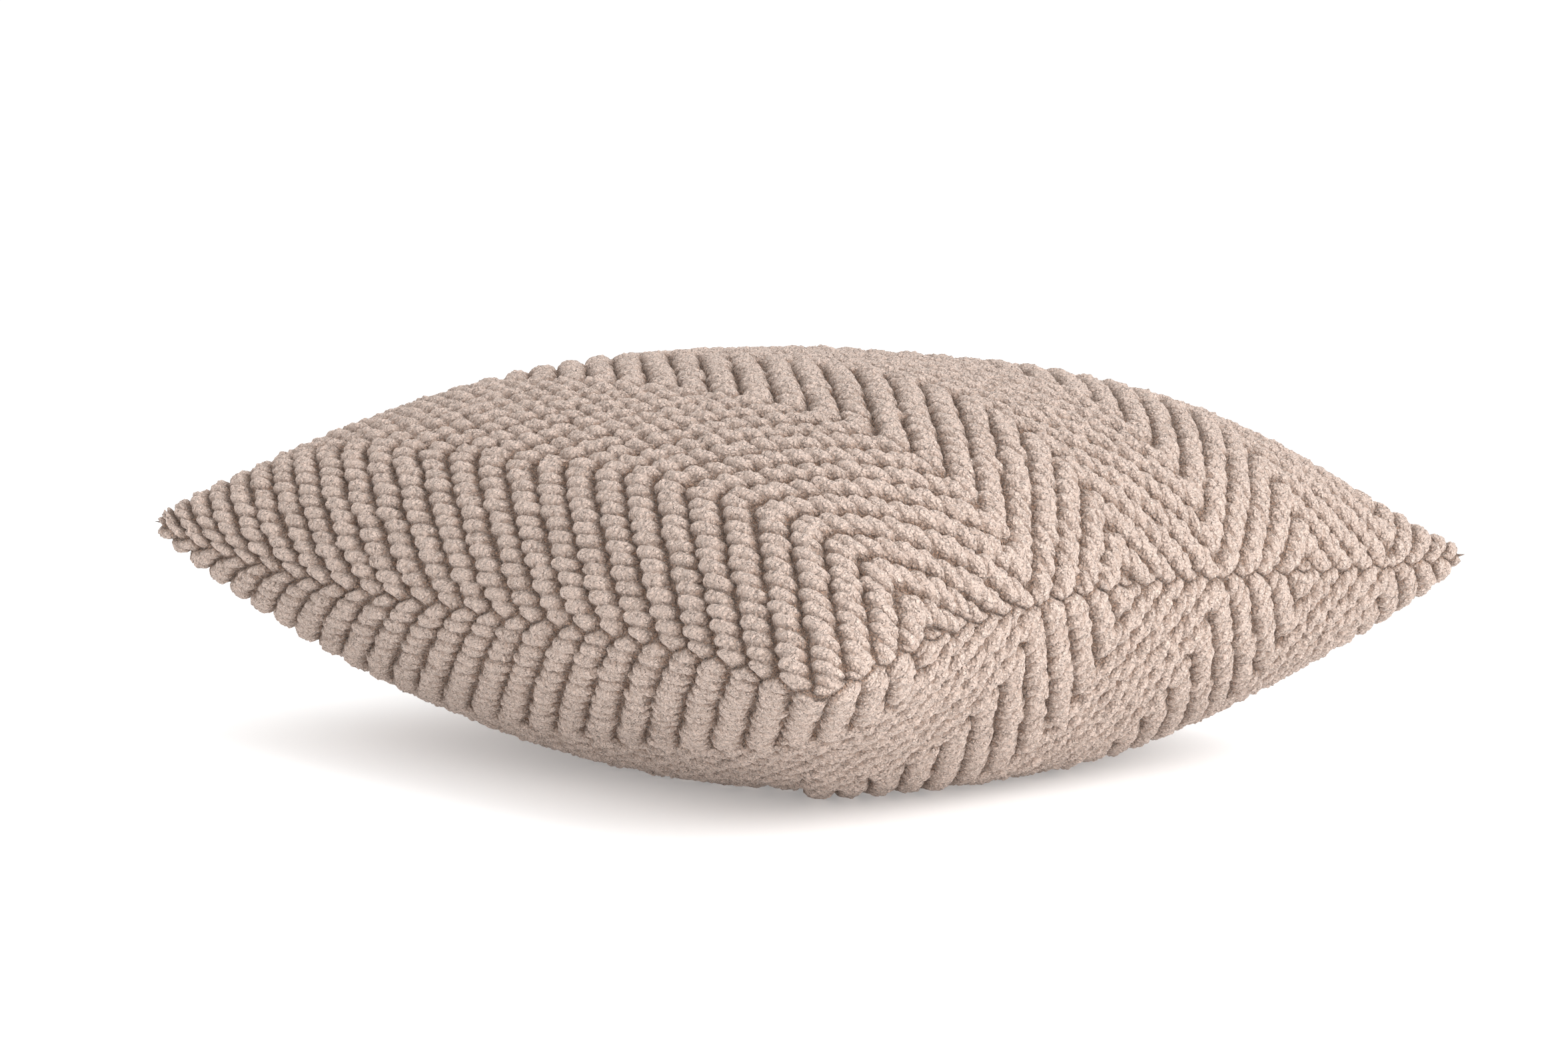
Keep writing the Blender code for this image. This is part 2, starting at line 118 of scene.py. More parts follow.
# The shape of a float of yarn, and of the cord that it lies on
PHASES = {1: 0.25, -1: 0.75}  # the bottom panel's ribs meet the seam between the top panel's
NUDGES = 5  # random numbers for each float
END_POWER = 2.8  # higher makes a float's ends squarer
SIDE_POWER = 3.0  # higher makes its sides squarer
CROWN_POWER = 0.45  # lower makes its top flatter
ROW_FILL = 0.59  # half a float's width, in rows
CORD_POWER = 2.4  # the cord's own powers, for its sides and its top
CORD_CROWN = 0.6
CORD_RISE = 0.52  # the cord's height, as a share of a float's
CORD_DEPTH = 0.35  # how much of a float lies below the net
NOISE_CELLS = 512  # side of the tables that noise and tufts are read from
TUFT_REACH = 0.5  # square of a tuft's radius, where tufts are 1 apart


# --- Sizes and colours that a user would change -------------------------------------------------------
def length(name, text, value):
    return bpy.props.FloatProperty(name=name, description=text, default=value, unit="LENGTH", precision=4)


def share(name, text, value):
    return bpy.props.FloatProperty(name=name, description=text, default=value)


def colour(name, text, value):
    kind = {"subtype": "COLOR", "min": 0, "max": 1}
    return bpy.props.FloatVectorProperty(name=name, description=text, default=value, **kind)


class PILLOW_PG_form(bpy.types.PropertyGroup):
    """The filled pillow's form."""

    seam_height: length("Seam height", "Floor to the seam, away from the corners", SEAM_HEIGHT)
    top_rise: length("Top rise", "Seam to the top of the top panel", 0.0958)
    bottom_drop: length("Bottom drop", "Seam to where the bottom panel would hang with no floor", 0.1118)
    top_fullness: share("Top fullness", "A power: lower is fuller near the edges", 0.54)
    bottom_fullness: share("Bottom fullness", "A power: lower is fuller near the edges", 0.557)
    top_squareness: share("Top squareness", "A power: higher is squarer in plan", 2.71)
    bottom_squareness: share("Bottom squareness", "A power: higher is squarer in plan", 2.05)
    top_lean: share("Top lean", "How much fuller the top is towards the near corner than the far one", -0.080)
    bottom_lean: share("Bottom lean", "How much shallower the bottom is towards the left corner", 0.174)
    lean_spread: share("Lean spread", "A power: lower spreads the bottom's lean further", 0.31)
    side_pull: length("Side pull", "How far the filling draws a side in", 0.0085)
    corner_round: length("Corner rounding", "How far a corner's point is turned in", 0.005)
    side_curve: share("Side curve", "A power: higher keeps a side straight for longer", 1.5)
    left_lift: length("Left corner lift", "How far the left corner stands above the seam", 0.011)
    near_drop: length("Near corner drop", "How far the near corner hangs below the seam", 0.018)
    right_lift: length("Right corner lift", "How far the right corner stands above the seam", 0.012)
    lift_reach: share("Lift reach", "A power: higher keeps a lift nearer to its corner", 3.2)
    left_sag: length("Left side sag", "How far the seam of the near left side sags", 0.0076)
    right_rise: length("Right side rise", "How far the seam of the near right side rises", 0.0124)
    floor_round: length("Floor rounding", "How softly the underside meets the floor", 0.006)


class PILLOW_PG_weave(bpy.types.PropertyGroup):
    """The chenille herringbone."""

    cloth_side: length("Cloth side", "Side of a panel of cloth, laid flat", 0.504)
    ribs: bpy.props.IntProperty(name="Ribs", description="Ribs along a side", default=25)
    bands: bpy.props.IntProperty(name="Bands", description="Herringbone bands across a panel", default=7)
    rows_in_band: share("Rows in a band", "Rows of yarn across one band", 13.0)
    slant: share("Slant", "How far a rib runs along a row for each step across the rows", 1.16)
    bead_length: length("Bead length", "Length of a yarn float", 0.0172)
    bead_skew: share("Bead skew", "How far a float's ends follow the rib: 0 is square, 1 is in line", 0.15)
    bead_height: length("Bead height", "How far a float stands out of the cloth", 0.0050)
    unevenness: length("Unevenness", "How far a float strays from its place", 0.0012)
    seam_round: length("Seam rounding", "How far from the seam the floats start to dive into it", 0.0032)
    seam_wander: length("Seam wander", "How far a rib pushes the seam out of its line", 0.0014)
    seam_reach: length("Seam reach", "How far into a panel the seam's wander fades", 0.009)
    wall: length("Cloth thickness", "Thickness of the cloth under the floats", 0.0040)


class PILLOW_PG_colours(bpy.types.PropertyGroup):
    """Colours, as linear values."""

    chenille: colour("Chenille", "The yarn's pile, where it stands proud", (0.600, 0.470, 0.402))
    # Painted shade: this dark colour stands in for the shade down in the grooves between the floats.
    chenille_crease_shade: colour("Chenille, deep", "The cloth between the floats", (0.21, 0.145, 0.112))
    chenille_thread: colour("Binding thread", "Fine thread that binds the pile", (0.44, 0.27, 0.185))
    floor: colour("Floor", "The pale floor", (0.93, 0.93, 0.93))


# --- Materials ----------------------------------------------------------------------------------------
class Value:
    """A socket that takes part in sums, each of which adds a Math node."""

    def __init__(self, material, socket):
        self.material = material
        self.socket = socket

    def sum_with(self, operation, other, swap=False):
        pair = (other, self) if swap else (self, other)
        return self.material.node("ShaderNodeMath", {"operation": operation}, {0: pair[0], 1: pair[1]})

    def __add__(self, other):
        return self.sum_with("ADD", other)

    def __radd__(self, other):
        return self.sum_with("ADD", other)

    def __sub__(self, other):
        return self.sum_with("SUBTRACT", other)

    def __rsub__(self, other):
        return self.sum_with("SUBTRACT", other, swap=True)

    def __mul__(self, other):
        return self.sum_with("MULTIPLY", other)

    def __rmul__(self, other):
        return self.sum_with("MULTIPLY", other)


class Finish:
    """A material whose nodes are made one call at a time."""

    def __init__(self, name):
        self.material = bpy.data.materials.new(name)
        self.material.use_nodes = True
        self.tree = self.material.node_tree
        self.shader = self.tree.nodes["Principled BSDF"]

    def node(self, kind, settings=None, inputs=None, output=0):
        """Adds a node of a kind, with its settings and then its inputs, and returns one of its outputs."""
        made = self.tree.nodes.new(kind)
        for key, value in (settings or {}).items():
            setattr(made, key, value)
        self.fill(made, inputs or {})
        return Value(self, made.outputs[output])

    def fill(self, made, inputs):
        for key, value in inputs.items():
            if isinstance(value, Value):
                self.tree.links.new(value.socket, made.inputs[key])
            elif isinstance(value, tuple) and len(value) == 3 and made.inputs[key].type == "RGBA":
                made.inputs[key].default_value = (*value, 1.0)
            else:
                made.inputs[key].default_value = value

    def shade(self, **inputs):
        """Sets the shader's own sockets. An underscore in a name stands for a space."""
        self.fill(self.shader, {key.replace("_", " "): value for key, value in inputs.items()})
        return self.material

    def object_place(self):
        return self.node("ShaderNodeTexCoord", output="Object")

    def attribute(self, name):
        return self.node("ShaderNodeAttribute", {"attribute_name": name}, output="Fac")

    def noise(self, place, scale, detail=2.0, roughness=0.5):
        inputs = {"Vector": place, "Scale": scale, "Detail": detail, "Roughness": roughness}
        return self.node("ShaderNodeTexNoise", inputs=inputs)

    def between(self, low, high, mask):
        """A colour from low to high."""
        settings = {"data_type": "RGBA"}
        return self.node("ShaderNodeMix", settings, {"Factor": mask, 6: low, 7: high}, output=2)

    def ranged(self, value, from_low, from_high, to_low=0.0, to_high=1.0):
        """A value taken from one range to another, and held inside it."""
        ends = {"From Min": from_low, "From Max": from_high, "To Min": to_low, "To Max": to_high}
        return self.node("ShaderNodeMapRange", inputs={"Value": value, **ends})

    def bump(self, height, strength, distance, normal=None):
        inputs = {"Height": height, "Strength": strength, "Distance": distance}
        if normal is not None:
            inputs["Normal"] = normal
        return self.node("ShaderNodeBump", inputs=inputs)


def woven_finish(name, low, high, thread_width, roughness=0.8, sheen=0.0, twill=0.0):
    """Plain or twill weave on object coordinates: threads along X cross threads along Z and Y."""
    finish = Finish(name)
    place = finish.object_place()
    parts = finish.node("ShaderNodeSeparateXYZ", inputs={0: place}, output="X")
    split = parts.socket.node
    x, y, z = (Value(finish, split.outputs[axis]) for axis in "XYZ")
    turn = math.tau / thread_width
    warp = finish.node("ShaderNodeMath", {"operation": "SINE"}, {0: (x + (z + y) * twill) * turn})
    weft = finish.node("ShaderNodeMath", {"operation": "SINE"}, {0: (z + y) * turn})
    raised = finish.ranged(warp * weft, -1.0, 1.0)
    fuzz = finish.noise(place, 2400.0)
    drift = finish.noise(place, 60.0)
    mask = finish.ranged(raised * 0.7 + fuzz * 0.3 + drift * 0.2, 0.2, 0.9)
    return finish.shade(
        Base_Color=finish.between(low, high, mask),
        Roughness=finish.ranged(drift, 0.3, 0.7, roughness - 0.06, roughness + 0.06),
        Sheen_Weight=sheen,
        Normal=finish.bump(raised + fuzz * 0.4, 0.5, thread_width * 0.25),
    )


def thread_finish():
    """Twisted polyester sewing thread."""
    finish = Finish("sewing_thread_twist")
    place = finish.object_place()
    ply = finish.node(
        "ShaderNodeTexWave",
        {"wave_type": "BANDS", "bands_direction": "DIAGONAL"},
        {"Vector": place, "Scale": 900.0, "Distortion": 0.6, "Detail": 1.0},
    )
    tone = finish.noise(place, 90.0)
    return finish.shade(
        Base_Color=finish.between((0.40, 0.31, 0.26), (0.60, 0.49, 0.42), ply * 0.7 + tone * 0.3),
        Roughness=0.55,
        Sheen_Weight=0.15,
        Normal=finish.bump(ply, 0.6, 0.0001),
    )


def nylon_finish():
    """Drawn nylon filament: smooth, a little waxy, and dulled where the slider has run over it."""
    finish = Finish("zip_nylon_filament")
    place = finish.object_place()
    drawn = finish.noise(place, 700.0, detail=3.0)
    worn = finish.noise(place, 120.0)
    return finish.shade(
        Base_Color=finish.between((0.38, 0.29, 0.235), (0.50, 0.40, 0.335), worn),
        Roughness=finish.ranged(drawn, 0.3, 0.7, 0.28, 0.42),
        Subsurface_Weight=0.08,
        Subsurface_Scale=0.001,
        Normal=finish.bump(drawn, 0.2, 0.00005),
    )


def metal_finish():
    """Plated zinc, tumbled smooth, with a few fine scratches and dull spots."""
    finish = Finish("zip_metal_plate")
    place = finish.object_place()
    stretch = finish.node("ShaderNodeMapping", inputs={"Vector": place, "Scale": (0.12, 1.0, 1.0)})
    scratch = finish.noise(stretch, 5200.0, detail=4.0, roughness=0.7)
    dull = finish.noise(place, 420.0, detail=3.0)
    return finish.shade(
        Base_Color=finish.between((0.50, 0.47, 0.43), (0.72, 0.69, 0.65), dull),
        Metallic=1.0,
        Roughness=finish.ranged(dull + scratch * 0.5, 0.5, 1.0, 0.22, 0.42),
        Normal=finish.bump(scratch, 0.12, 0.00004),
    )


def fibre_finish():
    """Loose hollow polyester fibre, white and springy."""
    finish = Finish("polyester_fibre_fill")
    place = finish.object_place()
    strand = finish.node(
        "ShaderNodeTexNoise", inputs={"Vector": place, "Scale": 420.0, "Detail": 6.0, "Distortion": 2.5}
    )
    clump = finish.noise(place, 45.0, detail=3.0)
    return finish.shade(
        Base_Color=finish.between((0.66, 0.65, 0.63), (0.90, 0.90, 0.89), strand * 0.6 + clump * 0.5),
        Roughness=0.95,
        Sheen_Weight=0.3,
        Normal=finish.bump(strand + clump, 0.9, 0.002),
    )


def chenille_finish():
    """Deep matt pile: paler on the floats, deeper and warmer down between them. The deeper colour there is
    painted shade for the grooves between the floats, and the gaps between tufts are darkened with painted
    shade too.
    """
    colours = bpy.context.scene.pillow_colours
    finish = Finish("chenille_pile")
    place = finish.object_place()
    height = finish.attribute("float_height")
    stray = {"Vector": place, "Scale": 500.0, "Detail": 2.0}
    stray = finish.node("ShaderNodeTexNoise", inputs=stray, output="Color")
    wander = finish.node("ShaderNodeVectorMath", {"operation": "SCALE"}, {0: stray, "Scale": 0.0016})
    bent = finish.node("ShaderNodeVectorMath", {"operation": "ADD"}, {0: place, 1: wander})
    cells = {"Vector": bent, "Scale": 640.0}
    nub = finish.node("ShaderNodeTexVoronoi", {"feature": "F1"}, cells, output="Distance")
    nub = finish.ranged(nub, 0.15, 0.75, 1.0, 0.0)
    tuft = finish.noise(place, 1500.0, detail=2.0, roughness=0.6)
    clump = finish.noise(place, 230.0, detail=2.0)
    drift = finish.noise(place, 9.0, detail=2.0)
    thread = finish.noise(place, 1900.0, detail=1.0)
    # Painted shade: this mask darkens the colour where the float height is low, in the creases between
    # floats, and where the tufts' edges lie; the clump noise adds random tone.
    crease_shade_mask = finish.ranged(height + (clump - 0.5) * 0.24 + (nub - 0.6) * 0.30, 0.14, 0.84)
    # The low end mixes the painted crease shade with the binding thread's own colour.
    crease_shade_and_thread = finish.between(
        tuple(colours.chenille_crease_shade), tuple(colours.chenille_thread), finish.ranged(thread, 0.5, 0.65)
    )
    pile = finish.between(crease_shade_and_thread, tuple(colours.chenille), crease_shade_mask)
    # Partly painted shade: the nub factor darkens the colour in the gaps between tufts, where small shadows
    # fall; the tuft and drift noises vary the tone at random.
    shade = finish.ranged(tuft, 0.30, 0.70, 0.86, 1.08) * finish.ranged(nub, 0.0, 0.9, 0.84, 1.12)
    shade = shade * finish.ranged(drift, 0.3, 0.7, 0.96, 1.04)
    pile = finish.node("ShaderNodeVectorMath", {"operation": "SCALE"}, {0: pile, "Scale": shade})
    nap = finish.bump(nub, 1.0, 0.0012)
    nap = finish.bump(tuft, 0.9, 0.0005, normal=nap)
    return finish.shade(
        Base_Color=pile,
        Roughness=0.95,
        Sheen_Weight=0.30,
        Sheen_Roughness=0.5,
        Sheen_Tint=(1.0, 0.95, 0.91, 1.0),
        Specular_IOR_Level=0.15,
        Normal=nap,
    )


# --- The filled form ----------------------------------------------------------------------------------
def rear_pull(s):
    """How far the rear side is drawn in: all along its zip, and less and less past it."""
    past = np.clip((np.abs(s) - SLOT_OPEN_TO / HALF_SIDE) / (1 - SLOT_OPEN_TO / HALF_SIDE), 0, 1)
    return REAR_PULL / HALF_SIDE * (1 - past**2)


def above_nought(value):
    """The value where it is above nought, and nought elsewhere."""
    return np.clip(value, 0, None)


def seam_level(form, s, t):
    """Height of the seam's level under or over the point (s, t) of a panel, each from -1 to 1."""
    left, right, near, far = (above_nought(value) for value in (-s, s, -t, t))
    reach = form.lift_reach
    z = form.seam_height + form.left_lift * (left * near) ** reach
    z = z - form.near_drop * (right * near) ** reach + form.right_lift * (right**3 * far) ** reach
    z = z - form.left_sag * above_nought(1 - s * s) * near**2
    return z + form.right_rise * above_nought(1 - t * t) * right**2


def form_points(form, side, s, t):
    """Points of the filled form's surface. side is 1 for the top panel and -1 for the bottom one."""
    drawn = form.side_pull / HALF_SIDE
    tip = 1 - form.corner_round / HALF_SIDE * np.abs(s * t) ** 30
    x = HALF_SIDE * s * (1 - drawn * (1 - np.abs(t) ** form.side_curve)) * tip
    near_pull = drawn * (1 - np.abs(s) ** form.side_curve)
    rear = np.clip((t + 1) / 2, 0, 1) ** 2
    y = HALF_SIDE * t * (1 - near_pull * (1 - rear) - rear_pull(s) * rear) * tip
    square = form.top_squareness if side > 0 else form.bottom_squareness
    share_up = np.clip((1 - np.abs(s) ** square) * (1 - np.abs(t) ** square), 0, None)
    z = seam_level(form, s, t)
    if side > 0:
        z = z + form.top_rise * share_up**form.top_fullness * (1 + form.top_lean * (s - t) / 2)
    else:
        shallower = form.bottom_lean * above_nought(-(s + t) / 2) ** form.lean_spread
        z = z - form.bottom_drop * share_up**form.bottom_fullness * (1 - shallower)
        z = 0.5 * (z + np.sqrt(z * z + form.floor_round**2))
    return np.stack([x, y, z], -1)


def spread_evenly(form, side, steps):
    """(s, t) of a square net of cloth points laid over the form so that each thread keeps an even spacing."""
    line = np.linspace(-1, 1, steps + 1)
    s, t = np.meshgrid(line, line, indexing="ij")
    order = np.arange(steps + 1)
    for turn in range(EVEN_TURNS):
        for axis in (0, 1):
            if axis:
                s, t = s.T, t.T
            points = form_points(form, side, s, t)
            for k in range(steps + 1):
                run = np.concatenate([[0], np.cumsum(np.linalg.norm(np.diff(points[:, k], axis=0), axis=1))])
                even = np.interp(np.linspace(0, run[-1], steps + 1), run, order)
                s[:, k], t[:, k] = np.interp(even, order, s[:, k]), np.interp(even, order, t[:, k])
            if axis:
                s, t = s.T, t.T
    return s, t


def finer(points, factor):
    """A grid of points made finer, on smooth curves through the old points."""
    for axis in (0, 1):
        points = np.moveaxis(points, axis, 0)
        count = points.shape[0] - 1
        padded = np.concatenate([[2 * points[0] - points[1]], points, [2 * points[-1] - points[-2]]])
        place = np.linspace(0, count, count * factor + 1)
        first = np.minimum(place.astype(int), count - 1)
        f = (place - first).reshape(-1, *[1] * (points.ndim - 1))
        a, b, c, d = (padded[first + k] for k in range(4))
        square, cube = 2 * a - 5 * b + 4 * c - d, 3 * b - a - 3 * c + d
        points = 0.5 * (2 * b + (c - a) * f + square * f**2 + cube * f**3)
        points = np.moveaxis(points, 0, axis)
    return points


def outward(points, side):
    """Unit normals of a grid of points."""
    along = np.gradient(points, axis=0)
    across = np.gradient(points, axis=1)
    normal = np.cross(along, across) * side
    return normal / np.maximum(np.linalg.norm(normal, axis=-1, keepdims=True), 1e-12)


def blurred(grid, turns):
    """A grid of vectors, evened out with its neighbours a number of times."""
    for turn in range(turns):
        for axis in (0, 1):
            grid = np.moveaxis(grid, axis, 0)
            evened = 0.25 * grid[:-2] + 0.5 * grid[1:-1] + 0.25 * grid[2:]
            grid = np.concatenate([grid[:1], evened, grid[-1:]])
            grid = np.moveaxis(grid, 0, axis)
    return grid


# --- The weave ----------------------------------------------------------------------------------------
def lattice_noise(u, v, size, seed):
    """Smooth noise from -1 to 1 with features of that size, the same each run."""
    table = np.random.default_rng(seed).uniform(-1, 1, (NOISE_CELLS, NOISE_CELLS))
    a, b = u / size, v / size
    i, j = np.floor(a).astype(int), np.floor(b).astype(int)
    f, g = a - i, b - j
    f, g = f * f * (3 - 2 * f), g * g * (3 - 2 * g)
    here, after = i % NOISE_CELLS, (i + 1) % NOISE_CELLS
    row, next_row = j % NOISE_CELLS, (j + 1) % NOISE_CELLS
    corner = table[here, row] * (1 - f) + table[after, row] * f
    opposite = table[here, next_row] * (1 - f) + table[after, next_row] * f
    return corner * (1 - g) + opposite * g


def tufts(u, v, size, seed):
    """Small round tufts of pile, from 0 between them to 1 at their tops."""
    places = np.random.default_rng(seed).uniform(0.15, 0.85, (NOISE_CELLS, NOISE_CELLS, 2))
    a, b = u / size, v / size
    i, j = np.floor(a).astype(int), np.floor(b).astype(int)
    nearest = np.full(u.shape, np.inf)
    for di in (-1, 0, 1):
        for dj in (-1, 0, 1):
            spot = places[(i + di) % NOISE_CELLS, (j + dj) % NOISE_CELLS]
            away = (a - i - di - spot[..., 0]) ** 2 + (b - j - dj - spot[..., 1]) ** 2
            nearest = np.minimum(nearest, away)
    return np.sqrt(np.clip(1 - nearest / TUFT_REACH, 0, 1))


def rib_wave(weave, u, v, phase):
    """From 0 in the groove between two ribs at (u, v) to 1 along the middle of a rib."""
    period, band = weave.cloth_side / weave.ribs, weave.cloth_side / weave.bands
    zigzag = np.abs((v + weave.cloth_side / 2 + band) % (2 * band) - band)
    start = zigzag * weave.slant + u + weave.cloth_side / 2 + phase * period
    off_rib = np.abs((start / period) % 1 - 0.5) * period / (weave.bead_length / 2)
    return np.clip(1 - off_rib**CORD_POWER, 0, 1) ** CORD_CROWN


def seam_weave(weave, u, v):
    """How far the seam next to (u, v) is pushed down by the top panel's ribs or up by the bottom panel's."""
    half = weave.cloth_side / 2
    beside = np.abs(u) > np.abs(v)
    edge_u, edge_v = np.where(beside, np.sign(u) * half, u), np.where(beside, v, np.sign(v) * half)
    over = rib_wave(weave, edge_u, edge_v, PHASES[1]) - rib_wave(weave, edge_u, edge_v, PHASES[-1])
    from_seam = half - np.maximum(np.abs(u), np.abs(v))
    from_corner = half - np.minimum(np.abs(edge_u), np.abs(edge_v))
    fade = np.clip(1 - from_seam / weave.seam_reach, 0, 1) ** 2
    return -weave.seam_wander * over * fade * np.clip(from_corner / weave.seam_reach - 0.5, 0, 1)


def float_heights(weave, u, v, phase, seed):
    """How far the cloth stands out at (u, v), as a share of a float's height. Rows of yarn run along u, each
    float is set over from the one in the row before, and the way it is set over turns at each band. The
    floats lie on a cord that runs on under them, which keeps a rib whole between one float and the next."""
    period = weave.cloth_side / weave.ribs
    band = weave.cloth_side / weave.bands
    row = band / weave.rows_in_band
    rows = round(weave.cloth_side / row)
    columns = weave.ribs * 2 + 12
    nudge = np.random.default_rng(seed).uniform(-1, 1, (rows, columns, NUDGES))
    from_edge = v + weave.cloth_side / 2
    zigzag_here = np.abs((from_edge + band) % (2 * band) - band)
    here = np.floor(from_edge / row).astype(int)
    best = np.zeros(u.shape)
    for step in (-1, 0, 1):
        line = here + step
        inside = (line >= 0) & (line < rows)
        middle = (line + 0.5) * row
        zigzag = np.abs((middle + band) % (2 * band) - band)
        zigzag += weave.bead_skew * (zigzag_here - zigzag)
        start = zigzag * weave.slant + u + weave.cloth_side / 2 + phase * period
        for side in (0, 1):
            count = np.floor(start / period - 0.5 + side).astype(int)
            astray, aside, longer, taller, wider = np.moveaxis(nudge[line % rows, count % columns], -1, 0)
            off_u = start - (count + 0.5) * period - astray * weave.unevenness
            off_u = off_u / (weave.bead_length / 2) * (1 + 0.10 * longer)
            off_v = from_edge - middle - aside * weave.unevenness * 0.5
            off_v = off_v / (row * (ROW_FILL + 0.04 * wider))
            mound = 1 - np.abs(off_u) ** END_POWER - np.abs(off_v) ** SIDE_POWER
            mound = np.clip(mound, 0, 1) ** CROWN_POWER
            best = np.maximum(best, mound * (1 + 0.10 * taller) * inside)
    return np.maximum(best, CORD_RISE * rib_wave(weave, u, v, phase))


def pile_heights(weave, u, v, side):
    """The floats' heights with the yarn's unevenness, its fluff and its tufts, and how far the heights dive
    into the seam, from 0 at the seam to 1 clear of it."""
    heights = float_heights(weave, u, v, PHASES[side], seed=5 + side)
    pile = 0.35 + 0.65 * np.clip(heights, 0, 1)
    heights += 0.10 * lattice_noise(u, v, 0.0040, seed=21 + side)
    heights += 0.13 * lattice_noise(u + 0.4 * v, v - 0.4 * u, 0.0018, seed=25 + side) * pile
    heights += 0.24 * (tufts(u, v, 0.0024, seed=31 + side) - 0.75) * pile
    from_seam = weave.cloth_side / 2 - np.maximum(np.abs(u), np.abs(v))
    dive = np.sqrt(np.clip(1 - (1 - np.minimum(from_seam / weave.seam_round, 1)) ** 2, 0, 1))
    return heights * dive, dive


def cloth_mesh(name, outer, inner, heights, side):
    """A closed panel from a fine outer grid and a coarse inner one, joined round their edges."""
    fine, coarse = outer.shape[0], inner.shape[0]
    factor = (fine - 1) // (coarse - 1)
    places = np.concatenate([outer.reshape(-1, 3), inner.reshape(-1, 3)])
    outer_index = np.arange(fine * fine).reshape(fine, fine)
    inner_index = fine * fine + np.arange(coarse * coarse).reshape(coarse, coarse)

    def quads(index):
        corners = (index[:-1, :-1], index[1:, :-1], index[1:, 1:], index[:-1, 1:])
        return np.stack([corner.ravel() for corner in corners], -1)

    def ring(index):
        return np.concatenate([index[:-1, 0], index[-1, :-1], index[:0:-1, -1], index[0, :0:-1]])

    outer_ring, inner_ring = ring(outer_index), ring(inner_index)
    count = len(outer_ring)
    k = np.arange(count)
    nearest = inner_ring[((k + factor // 2) // factor) % len(inner_ring)]
    after = np.roll(nearest, -1)
    edge = np.stack([outer_ring[(k + 1) % count], outer_ring, nearest, after], -1)
    narrow = nearest == after
    triangles = edge[narrow][:, :3]
    outer_quads, inner_quads = quads(outer_index), quads(inner_index)[:, ::-1]
    four = np.concatenate([outer_quads, inner_quads, edge[~narrow]])
    if side < 0:
        four, triangles = four[:, ::-1], triangles[:, ::-1]
    mesh = bpy.data.meshes.new(name)
    mesh.vertices.add(len(places))
    mesh.vertices.foreach_set("co", places.astype(np.float32).ravel())
    corners = np.concatenate([four.ravel(), triangles.ravel()]).astype(np.int32)
    mesh.loops.add(len(corners))
    mesh.loops.foreach_set("vertex_index", corners)
    starts = np.concatenate([np.arange(len(four)) * 4, len(four) * 4 + np.arange(len(triangles)) * 3])
    mesh.polygons.add(len(starts))
    mesh.polygons.foreach_set("loop_start", starts.astype(np.int32))
    mesh.update(calc_edges=True)
    mesh.validate()
    level = mesh.attributes.new("float_height", "FLOAT", "POINT")
    values = np.concatenate([heights.ravel(), np.zeros(coarse * coarse)])
    level.data.foreach_set("value", values.astype(np.float32))
    mesh.shade_smooth()
    return mesh


# --- The net of cloth points --------------------------------------------------------------------------
pressed_nets = {}


def closed_net(nets):
    """One closed mesh over both panels' nets, which share their border."""
    steps = nets[1].shape[0]
    top = np.arange(steps * steps).reshape(steps, steps)
    bottom = top.copy()
    bottom[1:-1, 1:-1] = steps * steps + np.arange((steps - 2) ** 2).reshape(steps - 2, steps - 2)
    places = np.concatenate([nets[1].reshape(-1, 3), nets[-1][1:-1, 1:-1].reshape(-1, 3)])
    faces = []
    for index, order in ((top, 1), (bottom, -1)):
        four = np.stack([index[:-1, :-1], index[1:, :-1], index[1:, 1:], index[:-1, 1:]], -1).reshape(-1, 4)
        faces += four[:, ::order].tolist()
    return places, faces, top, bottom


